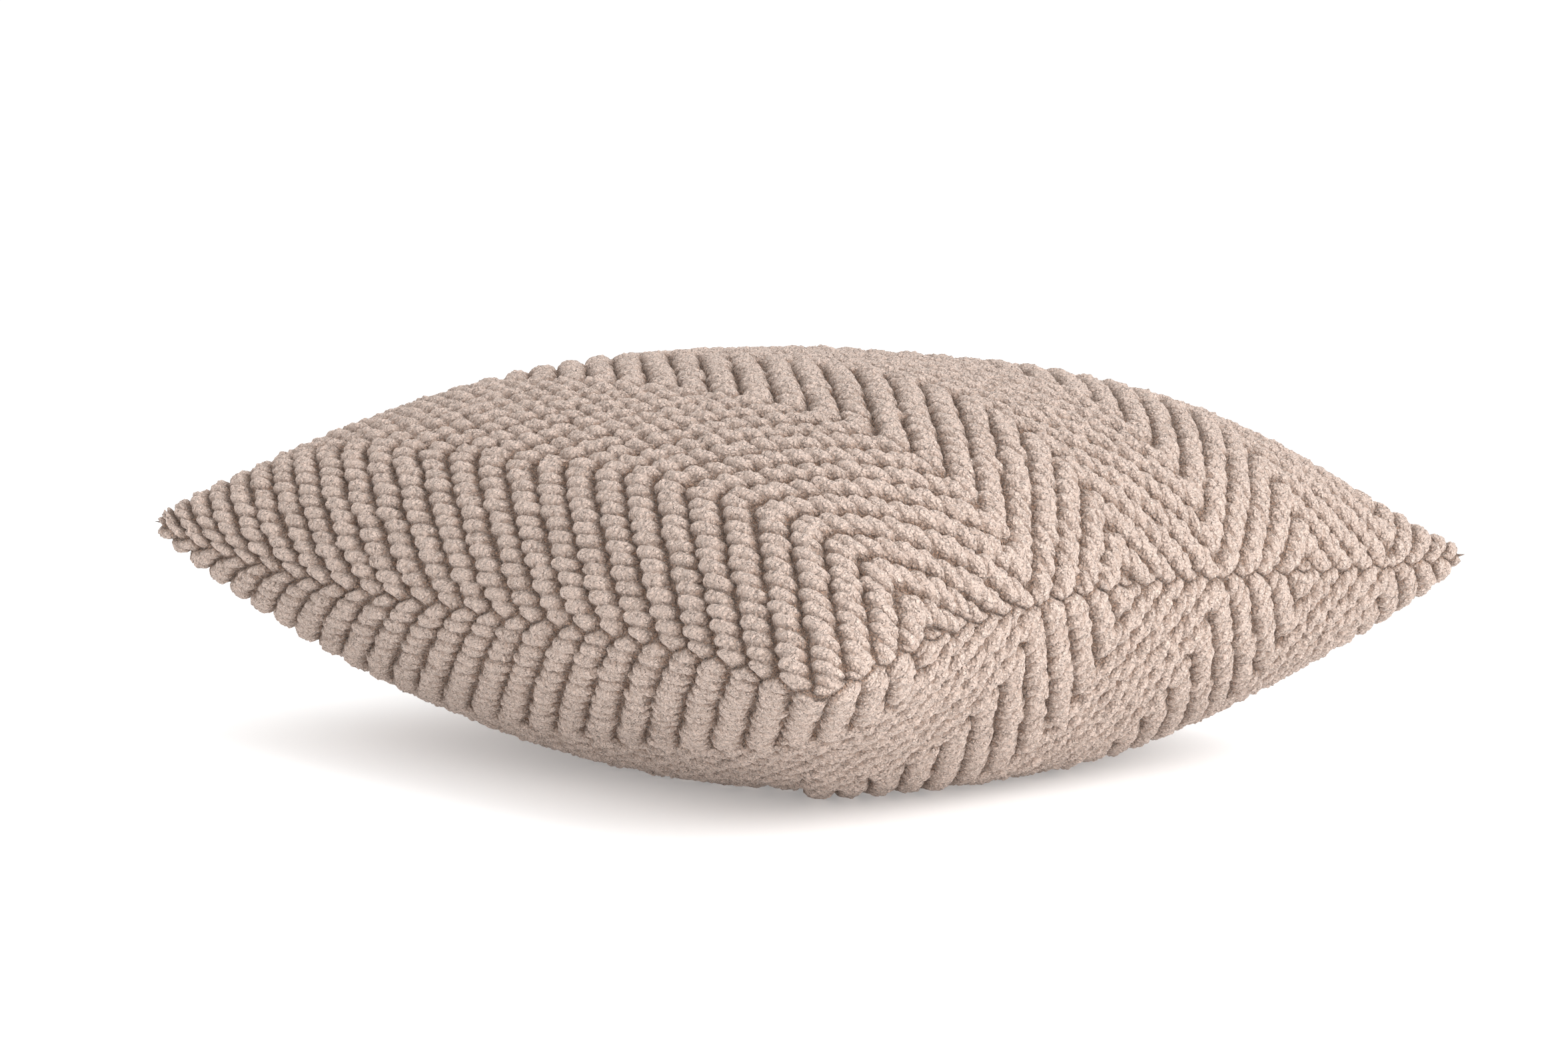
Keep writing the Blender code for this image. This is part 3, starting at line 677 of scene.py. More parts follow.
def swollen(nets):
    """The nets after their filling has pressed them out: Cloth with pressure on the closed form, held at the
    seam. The form is already the filled one, so only the puffs and dents that this adds are kept."""
    places, faces, top, bottom = closed_net(nets)
    mesh = bpy.data.meshes.new("swelling_form")
    mesh.from_pydata(places.tolist(), [], faces)
    mesh.update()
    normals = np.zeros(len(places) * 3)
    mesh.vertices.foreach_get("normal", normals)
    start = places - normals.reshape(-1, 3) * SWELL
    mesh.vertices.foreach_set("co", start.ravel())
    mesh.update()
    form = bpy.data.objects.new("swelling_form", mesh)
    bpy.context.scene.collection.objects.link(form)
    seam = form.vertex_groups.new(name="seam")
    seam.add(np.unique([top[0], top[-1], top[:, 0], top[:, -1]]).tolist(), 1.0, "REPLACE")
    cloth = form.modifiers.new("Cloth", "CLOTH")
    cloth.settings.vertex_group_mass = "seam"
    cloth.settings.use_pressure = True
    cloth.settings.uniform_pressure_force = PRESSURE
    cloth.settings.effector_weights.gravity = 0
    cloth.settings.quality = 5
    cloth.settings.tension_stiffness = 15
    cloth.settings.compression_stiffness = 5
    cloth.settings.bending_stiffness = 0.5
    cloth.collision_settings.use_collision = False
    cloth.point_cache.frame_end = SWELL_FRAMES
    for step in range(1, SWELL_FRAMES + 1):
        bpy.context.scene.frame_set(step)
    held = form.evaluated_get(bpy.context.evaluated_depsgraph_get())
    pressed = np.zeros(len(places) * 3)
    held.data.vertices.foreach_get("co", pressed)
    bpy.context.scene.frame_set(1)
    bpy.data.objects.remove(form)
    bpy.data.meshes.remove(mesh)
    move = pressed.reshape(-1, 3) - start
    made = {}
    for side, index in ((1, top), (-1, bottom)):
        puffs = move[index] - blurred(move[index], EVENING_TURNS)
        size = np.linalg.norm(puffs, axis=-1, keepdims=True)
        puffs *= np.minimum(1, SWELL_CAP / np.maximum(size, 1e-9))
        made[side] = nets[side] + puffs * from_border(index.shape[0], SEAM_STEPS)[..., None]
    made[-1][..., 2] = np.maximum(made[-1][..., 2], LEAST_HEIGHT)
    return made


def from_border(steps, reach):
    """A square grid that is 0 along its border and 1 from that many steps in."""
    line = np.minimum(np.arange(steps), np.arange(steps)[::-1])
    return np.clip(np.minimum(*np.meshgrid(line, line, indexing="ij")) / reach, 0, 1)


def cover_nets(context):
    """Each panel's net of cloth points, evenly spaced and pressed out by the filling, with the seam shut."""
    if not pressed_nets:
        form = context.scene.pillow_form
        nets = {side: form_points(form, side, *spread_evenly(form, side, NET_STEPS)) for side in (1, -1)}
        for line in (0, -1):
            nets[-1][line], nets[-1][:, line] = nets[1][line], nets[1][:, line]
        pressed_nets.update(swollen(nets))
    return pressed_nets


def seam_slot(x):
    """Half the height of the gap that the zip leaves in the rear seam."""
    return SLOT_HALF_HEIGHT * np.clip((SLOT_CLOSED_AT - np.abs(x)) / (SLOT_CLOSED_AT - SLOT_OPEN_TO), 0, 1)


def with_slot(net, side):
    """A panel's net with its rear edge turned back from the zip. The lift fades out within a few steps."""
    opened = net.copy()
    for k in range(SLOT_ROWS):
        share = (1 - k / SLOT_ROWS) ** 2
        edge = net[:, -1 - k]
        opened[:, -1 - k, 2] = edge[:, 2] + side * seam_slot(edge[:, 0]) * share
    return opened


def shrunk(net, side, plan_share, rise_share):
    """A panel's net brought in towards the middle of the pillow, for what lies inside the cover."""
    inner = net * (plan_share, plan_share, 1)
    border = np.concatenate([net[0], net[-1], net[:, 0], net[:, -1]])
    level = border[:, 2].mean()
    inner[..., 2] = level + (net[..., 2] - level) * rise_share
    return inner


def add_object(mesh, name, material):
    """Puts a finished mesh in the scene, as a piece that stays with the pillow."""
    made = bpy.data.objects.new(name, mesh)
    bpy.context.scene.collection.objects.link(made)
    made.data.materials.append(material)
    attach(made, "cushion")
    return made


class PILLOW_OT_cover(bpy.types.Operator):
    """Adds the chenille cover's two panels"""

    bl_idname = "pillow.add_cover"
    bl_label = "Cover"

    def execute(self, context):
        weave = context.scene.pillow_weave
        finish = chenille_finish()
        nets = {side: with_slot(net, side) for side, net in cover_nets(context).items()}
        for side, name in ((1, "chenille_cover_top"), (-1, "chenille_cover_bottom")):
            self.add_panel(name, side, nets[side], weave, finish)
        return {"FINISHED"}

    def add_panel(self, name, side, net, weave, finish):
        smooth = finer(net, FINER)
        normal = blurred(outward(smooth, side), SMOOTH_TURNS)
        normal /= np.maximum(np.linalg.norm(normal, axis=-1, keepdims=True), 1e-9)
        line = np.linspace(-0.5, 0.5, smooth.shape[0]) * weave.cloth_side
        u, v = np.meshgrid(line, line, indexing="ij")
        beside_zip = seam_slot(smooth[..., 0]) / SLOT_HALF_HEIGHT * (v > 0)
        smooth[..., 2] += seam_weave(weave, u, v) * (1 - beside_zip)
        heights, dive = pile_heights(weave, u, v, side)
        stretch = 1 - 0.12 * lattice_noise(u, v, 0.11, seed=41)
        proud = weave.bead_height * (heights * stretch - CORD_DEPTH * dive)
        outer = smooth + normal * proud[..., None]
        if side < 0:
            outer[..., 2] = np.maximum(outer[..., 2], FLOOR_GAP + 0.12 * outer[..., 2])
        inner = smooth - normal * (weave.wall + CORD_DEPTH * weave.bead_height)
        for edge in (np.s_[0, :, 2], np.s_[-1, :, 2], np.s_[:, 0, 2], np.s_[:, -1, 2]):
            inner[edge] = smooth[edge]
        inner = inner[::FINER, ::FINER].copy()
        made = add_object(cloth_mesh(name, outer, inner, heights, side), name, finish)
        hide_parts("cover_top_panel" if side > 0 else "cover_bottom_panel")


# --- Inside the cover ---------------------------------------------------------------------------------
def puckered(smooth, normal, depth, seed):
    """Small gathers that run in from the seam of a sewn casing, and soft dents further in."""
    steps = smooth.shape[0]
    line = np.linspace(-1, 1, steps)
    a, b = np.meshgrid(line, line, indexing="ij")
    along = np.where(np.abs(a) > np.abs(b), b, a) * HALF_SIDE
    from_seam = (1 - np.maximum(np.abs(a), np.abs(b))) * HALF_SIDE
    gathers = lattice_noise(along, from_seam * 0.12, 0.011, seed) * np.exp(-from_seam / 0.035)
    gathers *= np.clip(from_seam / 0.006, 0, 1)
    dents = lattice_noise(a * HALF_SIDE, b * HALF_SIDE, 0.045, seed + 1) * np.clip(from_seam / 0.04, 0, 1)
    sunk = depth * (0.5 + 0.5 * gathers + 0.35 * dents) * np.clip(from_seam / 0.01, 0, 1)
    return smooth - normal * sunk[..., None]


class PILLOW_OT_insert_casing(bpy.types.Operator):
    """Adds the insert's white cotton casing, a top and a bottom panel"""

    bl_idname = "pillow.add_insert_casing"
    bl_label = "Insert casing"

    def execute(self, context):
        finish = woven_finish("white_cotton_weave", (0.62, 0.61, 0.58), (0.83, 0.82, 0.79), 0.0007, 0.85, 0.1)
        for side, place in ((1, "top"), (-1, "bottom")):
            net = shrunk(cover_nets(context)[side], side, CASING_SHARE, 0.915)
            smooth = finer(net, CASING_FINER)
            normal = outward(smooth, side)
            outer = puckered(smooth, normal, 0.0012, seed=60 + side)
            inner = (outer - normal * 0.0008)[::CASING_FINER, ::CASING_FINER].copy()
            mesh = cloth_mesh("insert_" + place, outer, inner, np.zeros(outer.shape[:2]), side)
            made = add_object(mesh, "insert_" + place, finish)
            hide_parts("insert_casing_" + place)
        return {"FINISHED"}


class PILLOW_OT_filling(bpy.types.Operator):
    """Adds the insert's loose fibre filling"""

    bl_idname = "pillow.add_filling"
    bl_label = "Filling"

    def execute(self, context):
        nets = {side: shrunk(net, side, FILLING_SHARE, 0.885) for side, net in cover_nets(context).items()}
        places, faces, top, bottom = closed_net(nets)
        mesh = bpy.data.meshes.new("fibre_filling")
        mesh.from_pydata(places.tolist(), [], faces)
        mesh.update()
        normals = np.zeros(len(places) * 3)
        mesh.vertices.foreach_get("normal", normals)
        x, y, z = places.T
        clumps = tufts(x + 0.3 * z, y - 0.3 * z, 0.034, seed=71) + 0.5 * tufts(x - z, y + z, 0.013, seed=72)
        sunk = places - normals.reshape(-1, 3) * (0.0035 * (1.5 - clumps))[:, None]
        mesh.vertices.foreach_set("co", sunk.ravel())
        mesh.update()
        mesh.shade_smooth()
        made = add_object(mesh, "fibre_filling", fibre_finish())
        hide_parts("insert_filling")
        return {"FINISHED"}


BAND_FINER = 10
BAND_SIDES = 12


def seam_route(net, past_zip=None):
    """Points in order along the seam. With past_zip, it starts and ends that far along the rear side."""
    ring = np.concatenate([net[-1, :-1][::-1], net[:-1, 0][::-1], net[0, 1:], net[1:, -1]])
    if past_zip is None:
        return ring, True
    rear = ring[:, 1] > 0.9 * ring[:, 1].max()
    zip_run = rear & (np.abs(ring[:, 0]) < past_zip)
    first = int(np.flatnonzero(zip_run)[0])
    count = int(zip_run.sum())
    return np.roll(ring, -first, axis=0)[count:], False


def overlocked_band(name, route, closed, share, width, height, material):
    """Two raw edges sewn together with overlock stitches that bind them in a row of small ridges."""
    runs = len(route) if closed else len(route) - 1
    line = np.arange(runs * BAND_FINER + (0 if closed else 1)) / BAND_FINER
    first = np.floor(line).astype(int) % len(route)
    f = (line - np.floor(line))[:, None]
    path = route[first] * (1 - f) + route[(first + 1) % len(route)] * f
    turn = np.arange(BAND_SIDES) / BAND_SIDES * math.tau
    ridge = 1 - 0.12 * np.abs(np.sin(np.arange(len(path)) * math.pi / 4))
    middle = share - width / 2 / HALF_SIDE
    round_x = np.sign(np.cos(turn)) * np.abs(np.cos(turn)) ** 0.6
    round_z = np.sign(np.sin(turn)) * np.abs(np.sin(turn)) ** 0.6
    rings = np.zeros((len(path), BAND_SIDES, 3))
    for axis in (0, 1):
        rings[..., axis] = path[:, None, axis] * (middle + round_x * ridge[:, None] * width / 2 / HALF_SIDE)
    rings[..., 2] = path[:, None, 2] + round_z * ridge[:, None] * height / 2
    count = len(path)
    index = np.arange(count * BAND_SIDES).reshape(count, BAND_SIDES)
    here, there = (index, np.roll(index, -1, 0)) if closed else (index[:-1], index[1:])
    four = np.stack([here, np.roll(here, -1, 1), np.roll(there, -1, 1), there], -1).reshape(-1, 4)
    faces = four.tolist()
    if not closed:
        faces += [index[0][::-1].tolist(), index[-1].tolist()]
    mesh = bpy.data.meshes.new(name)
    mesh.from_pydata(rings.reshape(-1, 3).tolist(), [], faces)
    mesh.update()
    bm = bmesh.new()
    bm.from_mesh(mesh)
    bmesh.ops.recalc_face_normals(bm, faces=bm.faces)
    bm.to_mesh(mesh)
    bm.free()
    mesh.shade_smooth()
    return add_object(mesh, name, material)


class PILLOW_OT_seam_allowances(bpy.types.Operator):
    """Adds the overlocked seam allowances of the cover and of the insert"""

    bl_idname = "pillow.add_seam_allowances"
    bl_label = "Seam allowances"

    def execute(self, context):
        net = cover_nets(context)[1]
        low, high = (0.34, 0.25, 0.20), (0.56, 0.45, 0.38)
        thread = woven_finish("overlocked_edge", low, high, 0.0011, 0.9, 0.2, twill=1.0)
        route, closed = seam_route(net, past_zip=TAPE_HIGH.x + TAPE_TUCK)
        made = overlocked_band("cover_inner_seam", route, closed, COVER_BAND_SHARE, 0.0038, 0.0046, thread)
        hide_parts("cover_seam_allowance")
        low, high = (0.58, 0.57, 0.54), (0.84, 0.83, 0.80)
        cotton = woven_finish("bound_cotton_edge", low, high, 0.0009, 0.9, 0.1, twill=1.0)
        route, closed = seam_route(net)
        made = overlocked_band("insert_inner_seam", route, closed, INSERT_BAND_SHARE, 0.0019, 0.0022, cotton)
        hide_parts("insert_seam_allowance")
        return {"FINISHED"}


class PILLOW_OT_care_label(bpy.types.Operator):
    """Adds the blank care label, a folded loop of satin ribbon sewn into the left seam"""

    bl_idname = "pillow.add_care_label"
    bl_label = "Care label"

    def execute(self, context):
        net = shrunk(cover_nets(context)[1], 1, 0.962, 0.955)
        spacing = context.scene.pillow_weave.cloth_side / NET_STEPS
        near = int(np.abs(net[0, :, 1] - LABEL_LOW.y).argmin())
        far = int(np.abs(net[0, :, 1] - LABEL_HIGH.y).argmin())
        rise = int(math.ceil((LABEL_HIGH.z - LABEL_LOW.z) / spacing)) + 1
        patch = finer(net[: rise + 1, near : far + 1], 6)[1:]
        normal = outward(patch, 1)
        along = np.linspace(0, 1, patch.shape[0])[:, None]
        across = np.linspace(-1, 1, patch.shape[1])[None]
        bow = 0.00025 * (1 - across**2) * along
        open_by = 0.00022 * np.sqrt(np.clip(1 - along**8, 0, 1))
        front, back = (patch + normal * (bow + gap)[..., None] for gap in (open_by, -open_by))
        strip = np.concatenate([front, back[::-1][1:]])
        rows, columns = strip.shape[:2]
        index = np.arange(rows * columns).reshape(rows, columns)
        four = np.stack([index[:-1, :-1], index[1:, :-1], index[1:, 1:], index[:-1, 1:]], -1).reshape(-1, 4)
        mesh = bpy.data.meshes.new("care_label_ribbon")
        mesh.from_pydata(strip.reshape(-1, 3).tolist(), [], four.tolist())
        mesh.update()
        mesh.shade_smooth()
        finish = woven_finish("satin_ribbon", (0.80, 0.79, 0.77), (0.90, 0.90, 0.89), 0.0004, 0.35, 0.3)
        made = add_object(mesh, "care_label_ribbon", finish)
        solid = made.modifiers.new("Ribbon", "SOLIDIFY")
        solid.thickness = 0.00014
        solid.offset = 0
        bpy.context.view_layer.objects.active = made
        bpy.ops.object.modifier_apply(modifier=solid.name)
        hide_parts("care_label")
        return {"FINISHED"}


# --- The zip ------------------------------------------------------------------------------------------
def box_piece(name, low, high):
    """A block from one corner to the opposite one."""
    bpy.ops.object.select_all(action="DESELECT")
    middle = (Vector(low) + Vector(high)) / 2
    bpy.ops.mesh.primitive_cube_add(size=1, location=middle)
    made = bpy.context.object
    made.name = made.data.name = name
    made.scale = Vector(high) - Vector(low)
    bpy.ops.object.transform_apply(location=True, rotation=False, scale=True)
    return made


def finished_edges(made, width, segments=2):
    """Rounds every sharp edge of a piece, and shades it smooth."""
    bpy.ops.object.select_all(action="DESELECT")
    made.select_set(True)
    bpy.context.view_layer.objects.active = made
    bevel = made.modifiers.new("Edges", "BEVEL")
    bevel.width = width
    bevel.segments = segments
    bevel.limit_method = "ANGLE"
    bevel.angle_limit = math.radians(40)
    bpy.ops.object.modifier_apply(modifier=bevel.name)
    bpy.ops.object.shade_smooth_by_angle(angle=math.radians(40))


def rounded_corners(made, axis, width, segments, chosen):
    """Rounds the edges that run along an axis and whose middle is chosen."""
    bpy.ops.object.select_all(action="DESELECT")
    made.select_set(True)
    bpy.context.view_layer.objects.active = made
    bpy.ops.object.mode_set(mode="EDIT")
    bpy.ops.mesh.select_mode(type="EDGE")
    bpy.ops.mesh.select_all(action="DESELECT")
    bm = bmesh.from_edit_mesh(made.data)
    for edge in bm.edges:
        a, b = (vert.co for vert in edge.verts)
        run = b - a
        edge.select_set(abs(run[axis]) > 0.9 * run.length and chosen((a + b) / 2))
    bmesh.update_edit_mesh(made.data)
    bpy.ops.mesh.bevel(offset=width, segments=segments, affect="EDGES")
    bpy.ops.object.mode_set(mode="OBJECT")


def combined(body, others, operation="UNION"):
    """Adds pieces to a body, or takes them out of it."""
    for other in others:
        join = body.modifiers.new("Combine", "BOOLEAN")
        join.operation = operation
        join.solver = "EXACT"
        join.object = other
        bpy.context.view_layer.objects.active = body
        bpy.ops.object.modifier_apply(modifier=join.name)
        bpy.data.objects.remove(other)


def repeated(made, step, count):
    """Copies a piece along a row of equal steps."""
    row = made.modifiers.new("Row", "ARRAY")
    row.count = count
    row.use_relative_offset = False
    row.use_constant_offset = True
    row.constant_offset_displace = step
    row.use_merge_vertices = True
    row.merge_threshold = 0.00002
    bpy.context.view_layer.objects.active = made
    bpy.ops.object.modifier_apply(modifier=row.name)


class PILLOW_OT_zip_tapes(bpy.types.Operator):
    """Adds the zip's two woven tapes"""

    bl_idname = "pillow.add_zip_tapes"
    bl_label = "Zip tapes"

    def execute(self, context):
        low, high = (0.33, 0.245, 0.20), (0.50, 0.40, 0.34)
        finish = woven_finish("zip_tape_twill", low, high, 0.00065, 0.8, 0.1, twill=0.5)
        for side, place in ((1, "upper"), (-1, "lower")):
            self.add_tape(side, place, finish)
        return {"FINISHED"}

    def add_tape(self, side, place, finish):
        low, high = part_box("zip_tape_" + place)
        thick = 0.0005
        near, bend = TAPE_LOW.z - SEAM_HEIGHT, 0.005
        far = (high.z - SEAM_HEIGHT) if side > 0 else (SEAM_HEIGHT - low.z)
        bpy.ops.object.select_all(action="DESELECT")
        bpy.ops.mesh.primitive_grid_add(x_subdivisions=172, y_subdivisions=16, size=1)
        made = bpy.context.object
        made.name = made.data.name = "woven_tape_" + place
        back = low.y + thick
        front = high.y - thick / 2 - 0.00005
        for vert in made.data.vertices:
            along, out = vert.co.x * 2 * (high.x + TAPE_TUCK), near + (vert.co.y + 0.5) * (far - near)
            fallen = max(0.0, (out - bend) / (far - bend))
            wave = 0.00012 * math.sin(along * 160 + side) * fallen
            vert.co = (along, front + (back - front) * fallen**1.3 + wave, SEAM_HEIGHT + side * out)
        solid = made.modifiers.new("Tape", "SOLIDIFY")
        solid.thickness = thick
        solid.offset = 0
        bpy.ops.object.modifier_apply(modifier=solid.name)
        finished_edges(made, 0.00012, 1)
        made.data.materials.append(finish)
        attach(made, "cushion")
        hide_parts("zip_tape_" + place)


class PILLOW_OT_zip_coils(bpy.types.Operator):
    """Adds the zip's two coils of nylon filament"""

    bl_idname = "pillow.add_zip_coils"
    bl_label = "Zip coils"

    def execute(self, context):
        finish = nylon_finish()
        turns, points, thick = 200, 14, 0.00030
        pitch = (COIL_HIGH.x - COIL_LOW.x - 2 * thick) / turns
        for side, place in ((1, "upper"), (-1, "lower")):
            curve = bpy.data.curves.new("coil_turn", "CURVE")
            curve.dimensions = "3D"
            curve.bevel_depth = thick
            curve.bevel_resolution = 1
            turn = curve.splines.new("POLY")
            turn.points.add(points)
            middle_y, middle_z = (COIL_LOW.y + COIL_HIGH.y) / 2, (COIL_LOW.z + COIL_HIGH.z) / 2 - SEAM_HEIGHT
            reach_y = (COIL_HIGH.y - COIL_LOW.y) / 2 - thick
            reach_z = (COIL_HIGH.z - COIL_LOW.z) / 2 - thick
            for k, point in enumerate(turn.points):
                a = math.tau * k / points
                y = middle_y - reach_y * math.copysign(abs(math.sin(a)) ** 0.7, math.sin(a))
                z = middle_z + reach_z * math.copysign(abs(math.cos(a)) ** 0.7, math.cos(a))
                lean = 0.22 * pitch * math.sin(a) * side
                x = COIL_LOW.x + thick + pitch * k / points + lean
                point.co = (x, y, SEAM_HEIGHT + side * z, 1)
            coil = bpy.data.objects.new("coil_" + place, curve)
            bpy.context.scene.collection.objects.link(coil)
            bpy.ops.object.select_all(action="DESELECT")
            coil.select_set(True)
            bpy.context.view_layer.objects.active = coil
            bpy.ops.object.convert(target="MESH")
            coil = bpy.context.object
            coil.name = coil.data.name = "coil_" + place
            repeated(coil, (pitch, 0, 0), turns)
            self.close_ends(coil)
            coil.data.shade_smooth()
            coil.data.materials.append(finish)
            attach(coil, "cushion")
            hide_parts("zip_coil_" + place)
        return {"FINISHED"}

    def close_ends(self, coil):
        """Closes the two cut ends of the filament."""
        bpy.ops.object.mode_set(mode="EDIT")
        bpy.ops.mesh.select_mode(type="EDGE")
        bpy.ops.mesh.select_all(action="DESELECT")
        bpy.ops.mesh.select_non_manifold()
        bpy.ops.mesh.edge_face_add()
        bpy.ops.mesh.select_all(action="SELECT")
        bpy.ops.mesh.normals_make_consistent(inside=False)
        bpy.ops.object.mode_set(mode="OBJECT")


class PILLOW_OT_zip_stitching(bpy.types.Operator):
    """Adds the rows of lockstitch that hold the tapes"""

    bl_idname = "pillow.add_zip_stitching"
    bl_label = "Zip stitching"

    def execute(self, context):
        finish = thread_finish()
        stitch, gap = 0.0024, 0.0006
        for side, place in ((1, "upper"), (-1, "lower")):
            low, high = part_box("zip_stitching_" + place)
            count = int((high.x - low.x) / (stitch + gap))
            step = (high.x - low.x) / count
            bpy.ops.object.select_all(action="DESELECT")
            bpy.ops.mesh.primitive_uv_sphere_add(
                segments=8,
                ring_count=6,
                radius=0.5,
                location=(low.x + step / 2, (low.y + high.y) / 2, (low.z + high.z) / 2),
                rotation=(0, math.pi / 2, 0),
            )
            made = bpy.context.object
            made.name = made.data.name = "stitches_" + place
            made.scale = (high.z - low.z, high.y - low.y, stitch)
            bpy.ops.object.transform_apply(location=True, rotation=True, scale=True)
            repeated(made, (step, 0, 0), count)
            made.data.shade_smooth()
            made.data.materials.append(finish)
            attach(made, "cushion")
            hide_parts("zip_stitching_" + place)
        return {"FINISHED"}


class PILLOW_OT_zip_stops(bpy.types.Operator):
    """Adds the zip's two top stops and its bottom stop, crimped round the coils' ends"""

    bl_idname = "pillow.add_zip_stops"
    bl_label = "Zip stops"

    def execute(self, context):
        finish = metal_finish()
        for node in ("zip_top_stop_upper", "zip_top_stop_lower", "zip_bottom_stop"):
            low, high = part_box(node)
            made = box_piece(node.replace("zip_", "crimped_"), low, high)
            rounded_corners(made, 2, 0.0007, 4, lambda middle: middle.y > (low.y + high.y) / 2)
            finished_edges(made, 0.00025, 3)
            made.data.materials.append(finish)
            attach(made, "cushion")
            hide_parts(node)
        return {"FINISHED"}


class PILLOW_OT_slider(bpy.types.Operator):
    """Adds the zip's slider: two shouldered plates, a web, side flanges and the bridge for the pull"""

    bl_idname = "pillow.add_slider"
    bl_label = "Slider"

    def execute(self, context):
        low, high = SLIDER_LOW, SLIDER_HIGH
        plate, flange, running = 0.0010, 0.0008, 0.0003
        front_low, front_high = COIL_HIGH.y + running, COIL_HIGH.y + running + plate
        body = self.plate("slider", (low.x, front_low, low.z), (high.x, front_high, high.z))
        parts = [self.plate("back_plate", low, (high.x, low.y + plate, high.z))]
        web_x, web_z = high.x - 0.004, 0.0003
        parts.append(
            box_piece(
                "web",
                (web_x, low.y + plate / 2, SEAM_HEIGHT - web_z),
                (high.x - plate / 2, front_low + plate / 2, SEAM_HEIGHT + web_z),
            )
        )
        for side in (1, -1):
            half = high.z - SEAM_HEIGHT
            lower, upper = sorted(SEAM_HEIGHT + side * (half - inset) for inset in (0, flange))
            corner = (high.x - 0.0022, front_low + plate / 2, upper)
            parts.append(box_piece("flange", (low.x + 0.0004, COIL_LOW.y, lower), corner))
        parts.append(self.bridge(front_high, high.y))
        combined(body, parts)
        finished_edges(body, 0.00014, 2)
        body.data.materials.append(metal_finish())
        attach(body, "slider")
        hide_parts("zip_slider")
        return {"FINISHED"}

    def plate(self, name, low, high):
        """A plate with rounded shoulders where the coils enter and smaller ones where they leave."""
        made = box_piece(name, low, high)
        middle_x = (low[0] + high[0]) / 2
        rounded_corners(made, 1, 0.0019, 5, lambda middle: middle.x > middle_x)
        rounded_corners(made, 1, 0.0009, 4, lambda middle: middle.x < middle_x)
        return made

    def bridge(self, foot, top):
        """The arch that the pull turns in."""
        reach, bar, width = 0.0020, 0.0008, 0.0020
        arch = box_piece(
            "bridge",
            (PIVOT.x - reach - bar, foot - bar / 2, SEAM_HEIGHT - width / 2),
            (PIVOT.x + reach + bar, top, SEAM_HEIGHT + width / 2),
        )
        rounded_corners(arch, 2, 0.0007, 4, lambda middle: middle.y > foot)
        space = box_piece(
            "space",
            (PIVOT.x - reach, foot, SEAM_HEIGHT - width),
            (PIVOT.x + reach, top - bar, SEAM_HEIGHT + width),
        )
        combined(arch, [space], "DIFFERENCE")
        return arch


class PILLOW_OT_pull(bpy.types.Operator):
    """Adds the slider's pull tab, with its window for the bridge, a sunk panel and a hole at the end"""

    bl_idname = "pillow.add_pull"
    bl_label = "Pull tab"

    def execute(self, context):
        low, high = PULL_LOW, PULL_HIGH
        made = box_piece("pull_tab", low, high)
        tip_half = 0.0023
        narrowing = tip_half / ((high.z - low.z) / 2)
        bpy.ops.object.mode_set(mode="EDIT")
        bpy.ops.mesh.select_mode(type="VERT")
        bpy.ops.mesh.select_all(action="DESELECT")
        bm = bmesh.from_edit_mesh(made.data)
        for vert in bm.verts:
            vert.select_set(vert.co.x < (low.x + high.x) / 2)
        bmesh.update_edit_mesh(made.data)
        bpy.ops.transform.resize(value=(1, 1, narrowing))
        bpy.ops.object.mode_set(mode="OBJECT")
        rounded_corners(made, 1, tip_half * 0.98, 10, lambda middle: middle.x < (low.x + high.x) / 2)
        rounded_corners(made, 1, 0.0010, 4, lambda middle: middle.x > high.x - 0.001)
        bar, leg, window_end = 0.00055, 0.0013, 0.00363
        window = box_piece(
            "window",
            (PIVOT.x - window_end, low.y - 0.001, SEAM_HEIGHT - leg),
            (PIVOT.x - bar, high.y + 0.001, SEAM_HEIGHT + leg),
        )
        rounded_corners(window, 1, 0.0006, 3, lambda middle: middle.x < PIVOT.x - 0.002)
        bpy.ops.mesh.primitive_cylinder_add(
            vertices=24,
            radius=0.0011,
            depth=0.004,
            location=(low.x + tip_half, (low.y + high.y) / 2, SEAM_HEIGHT),
            rotation=(math.pi / 2, 0, 0),
        )
        hole = bpy.context.object
        panels = []
        for face in (low.y, high.y):
            panel = box_piece(
                "panel",
                (low.x + 0.0050, face - 0.00018, SEAM_HEIGHT - 0.00135),
                (PIVOT.x - window_end - 0.0022, face + 0.00018, SEAM_HEIGHT + 0.00135),
            )
            rounded_corners(panel, 1, 0.0008, 4, lambda middle: True)
            panels.append(panel)
        combined(made, [window, hole, *panels], "DIFFERENCE")
        finished_edges(made, 0.00012, 2)
        made.data.materials.append(metal_finish())
        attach(made, "pull")
        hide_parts("zip_pull_tab")
        return {"FINISHED"}


# --- The stage ----------------------------------------------------------------------------------------
class PILLOW_PG_stage(bpy.types.PropertyGroup):
    """Camera and light."""

    distance: length("Camera distance", "Camera to the pillow's middle", 1.407)
    elevation: share("Camera elevation", "In degrees above the horizon", 6.44)
    azimuth: share("Camera azimuth", "In degrees", 43.83)
    roll: share("Camera roll", "In degrees", 1.6)
    focal: share("Focal length", "In sensor widths", 1.9066)
    aim_left: share("Aim left", "How far left of the middle the camera aims, in sensor widths", 0.0179)
    aim_up: share("Aim up", "How far above the middle the camera aims, in sensor widths", 0.0354)
    aim_height: length("Aim height", "Height of the point that the camera is placed round", 0.08)


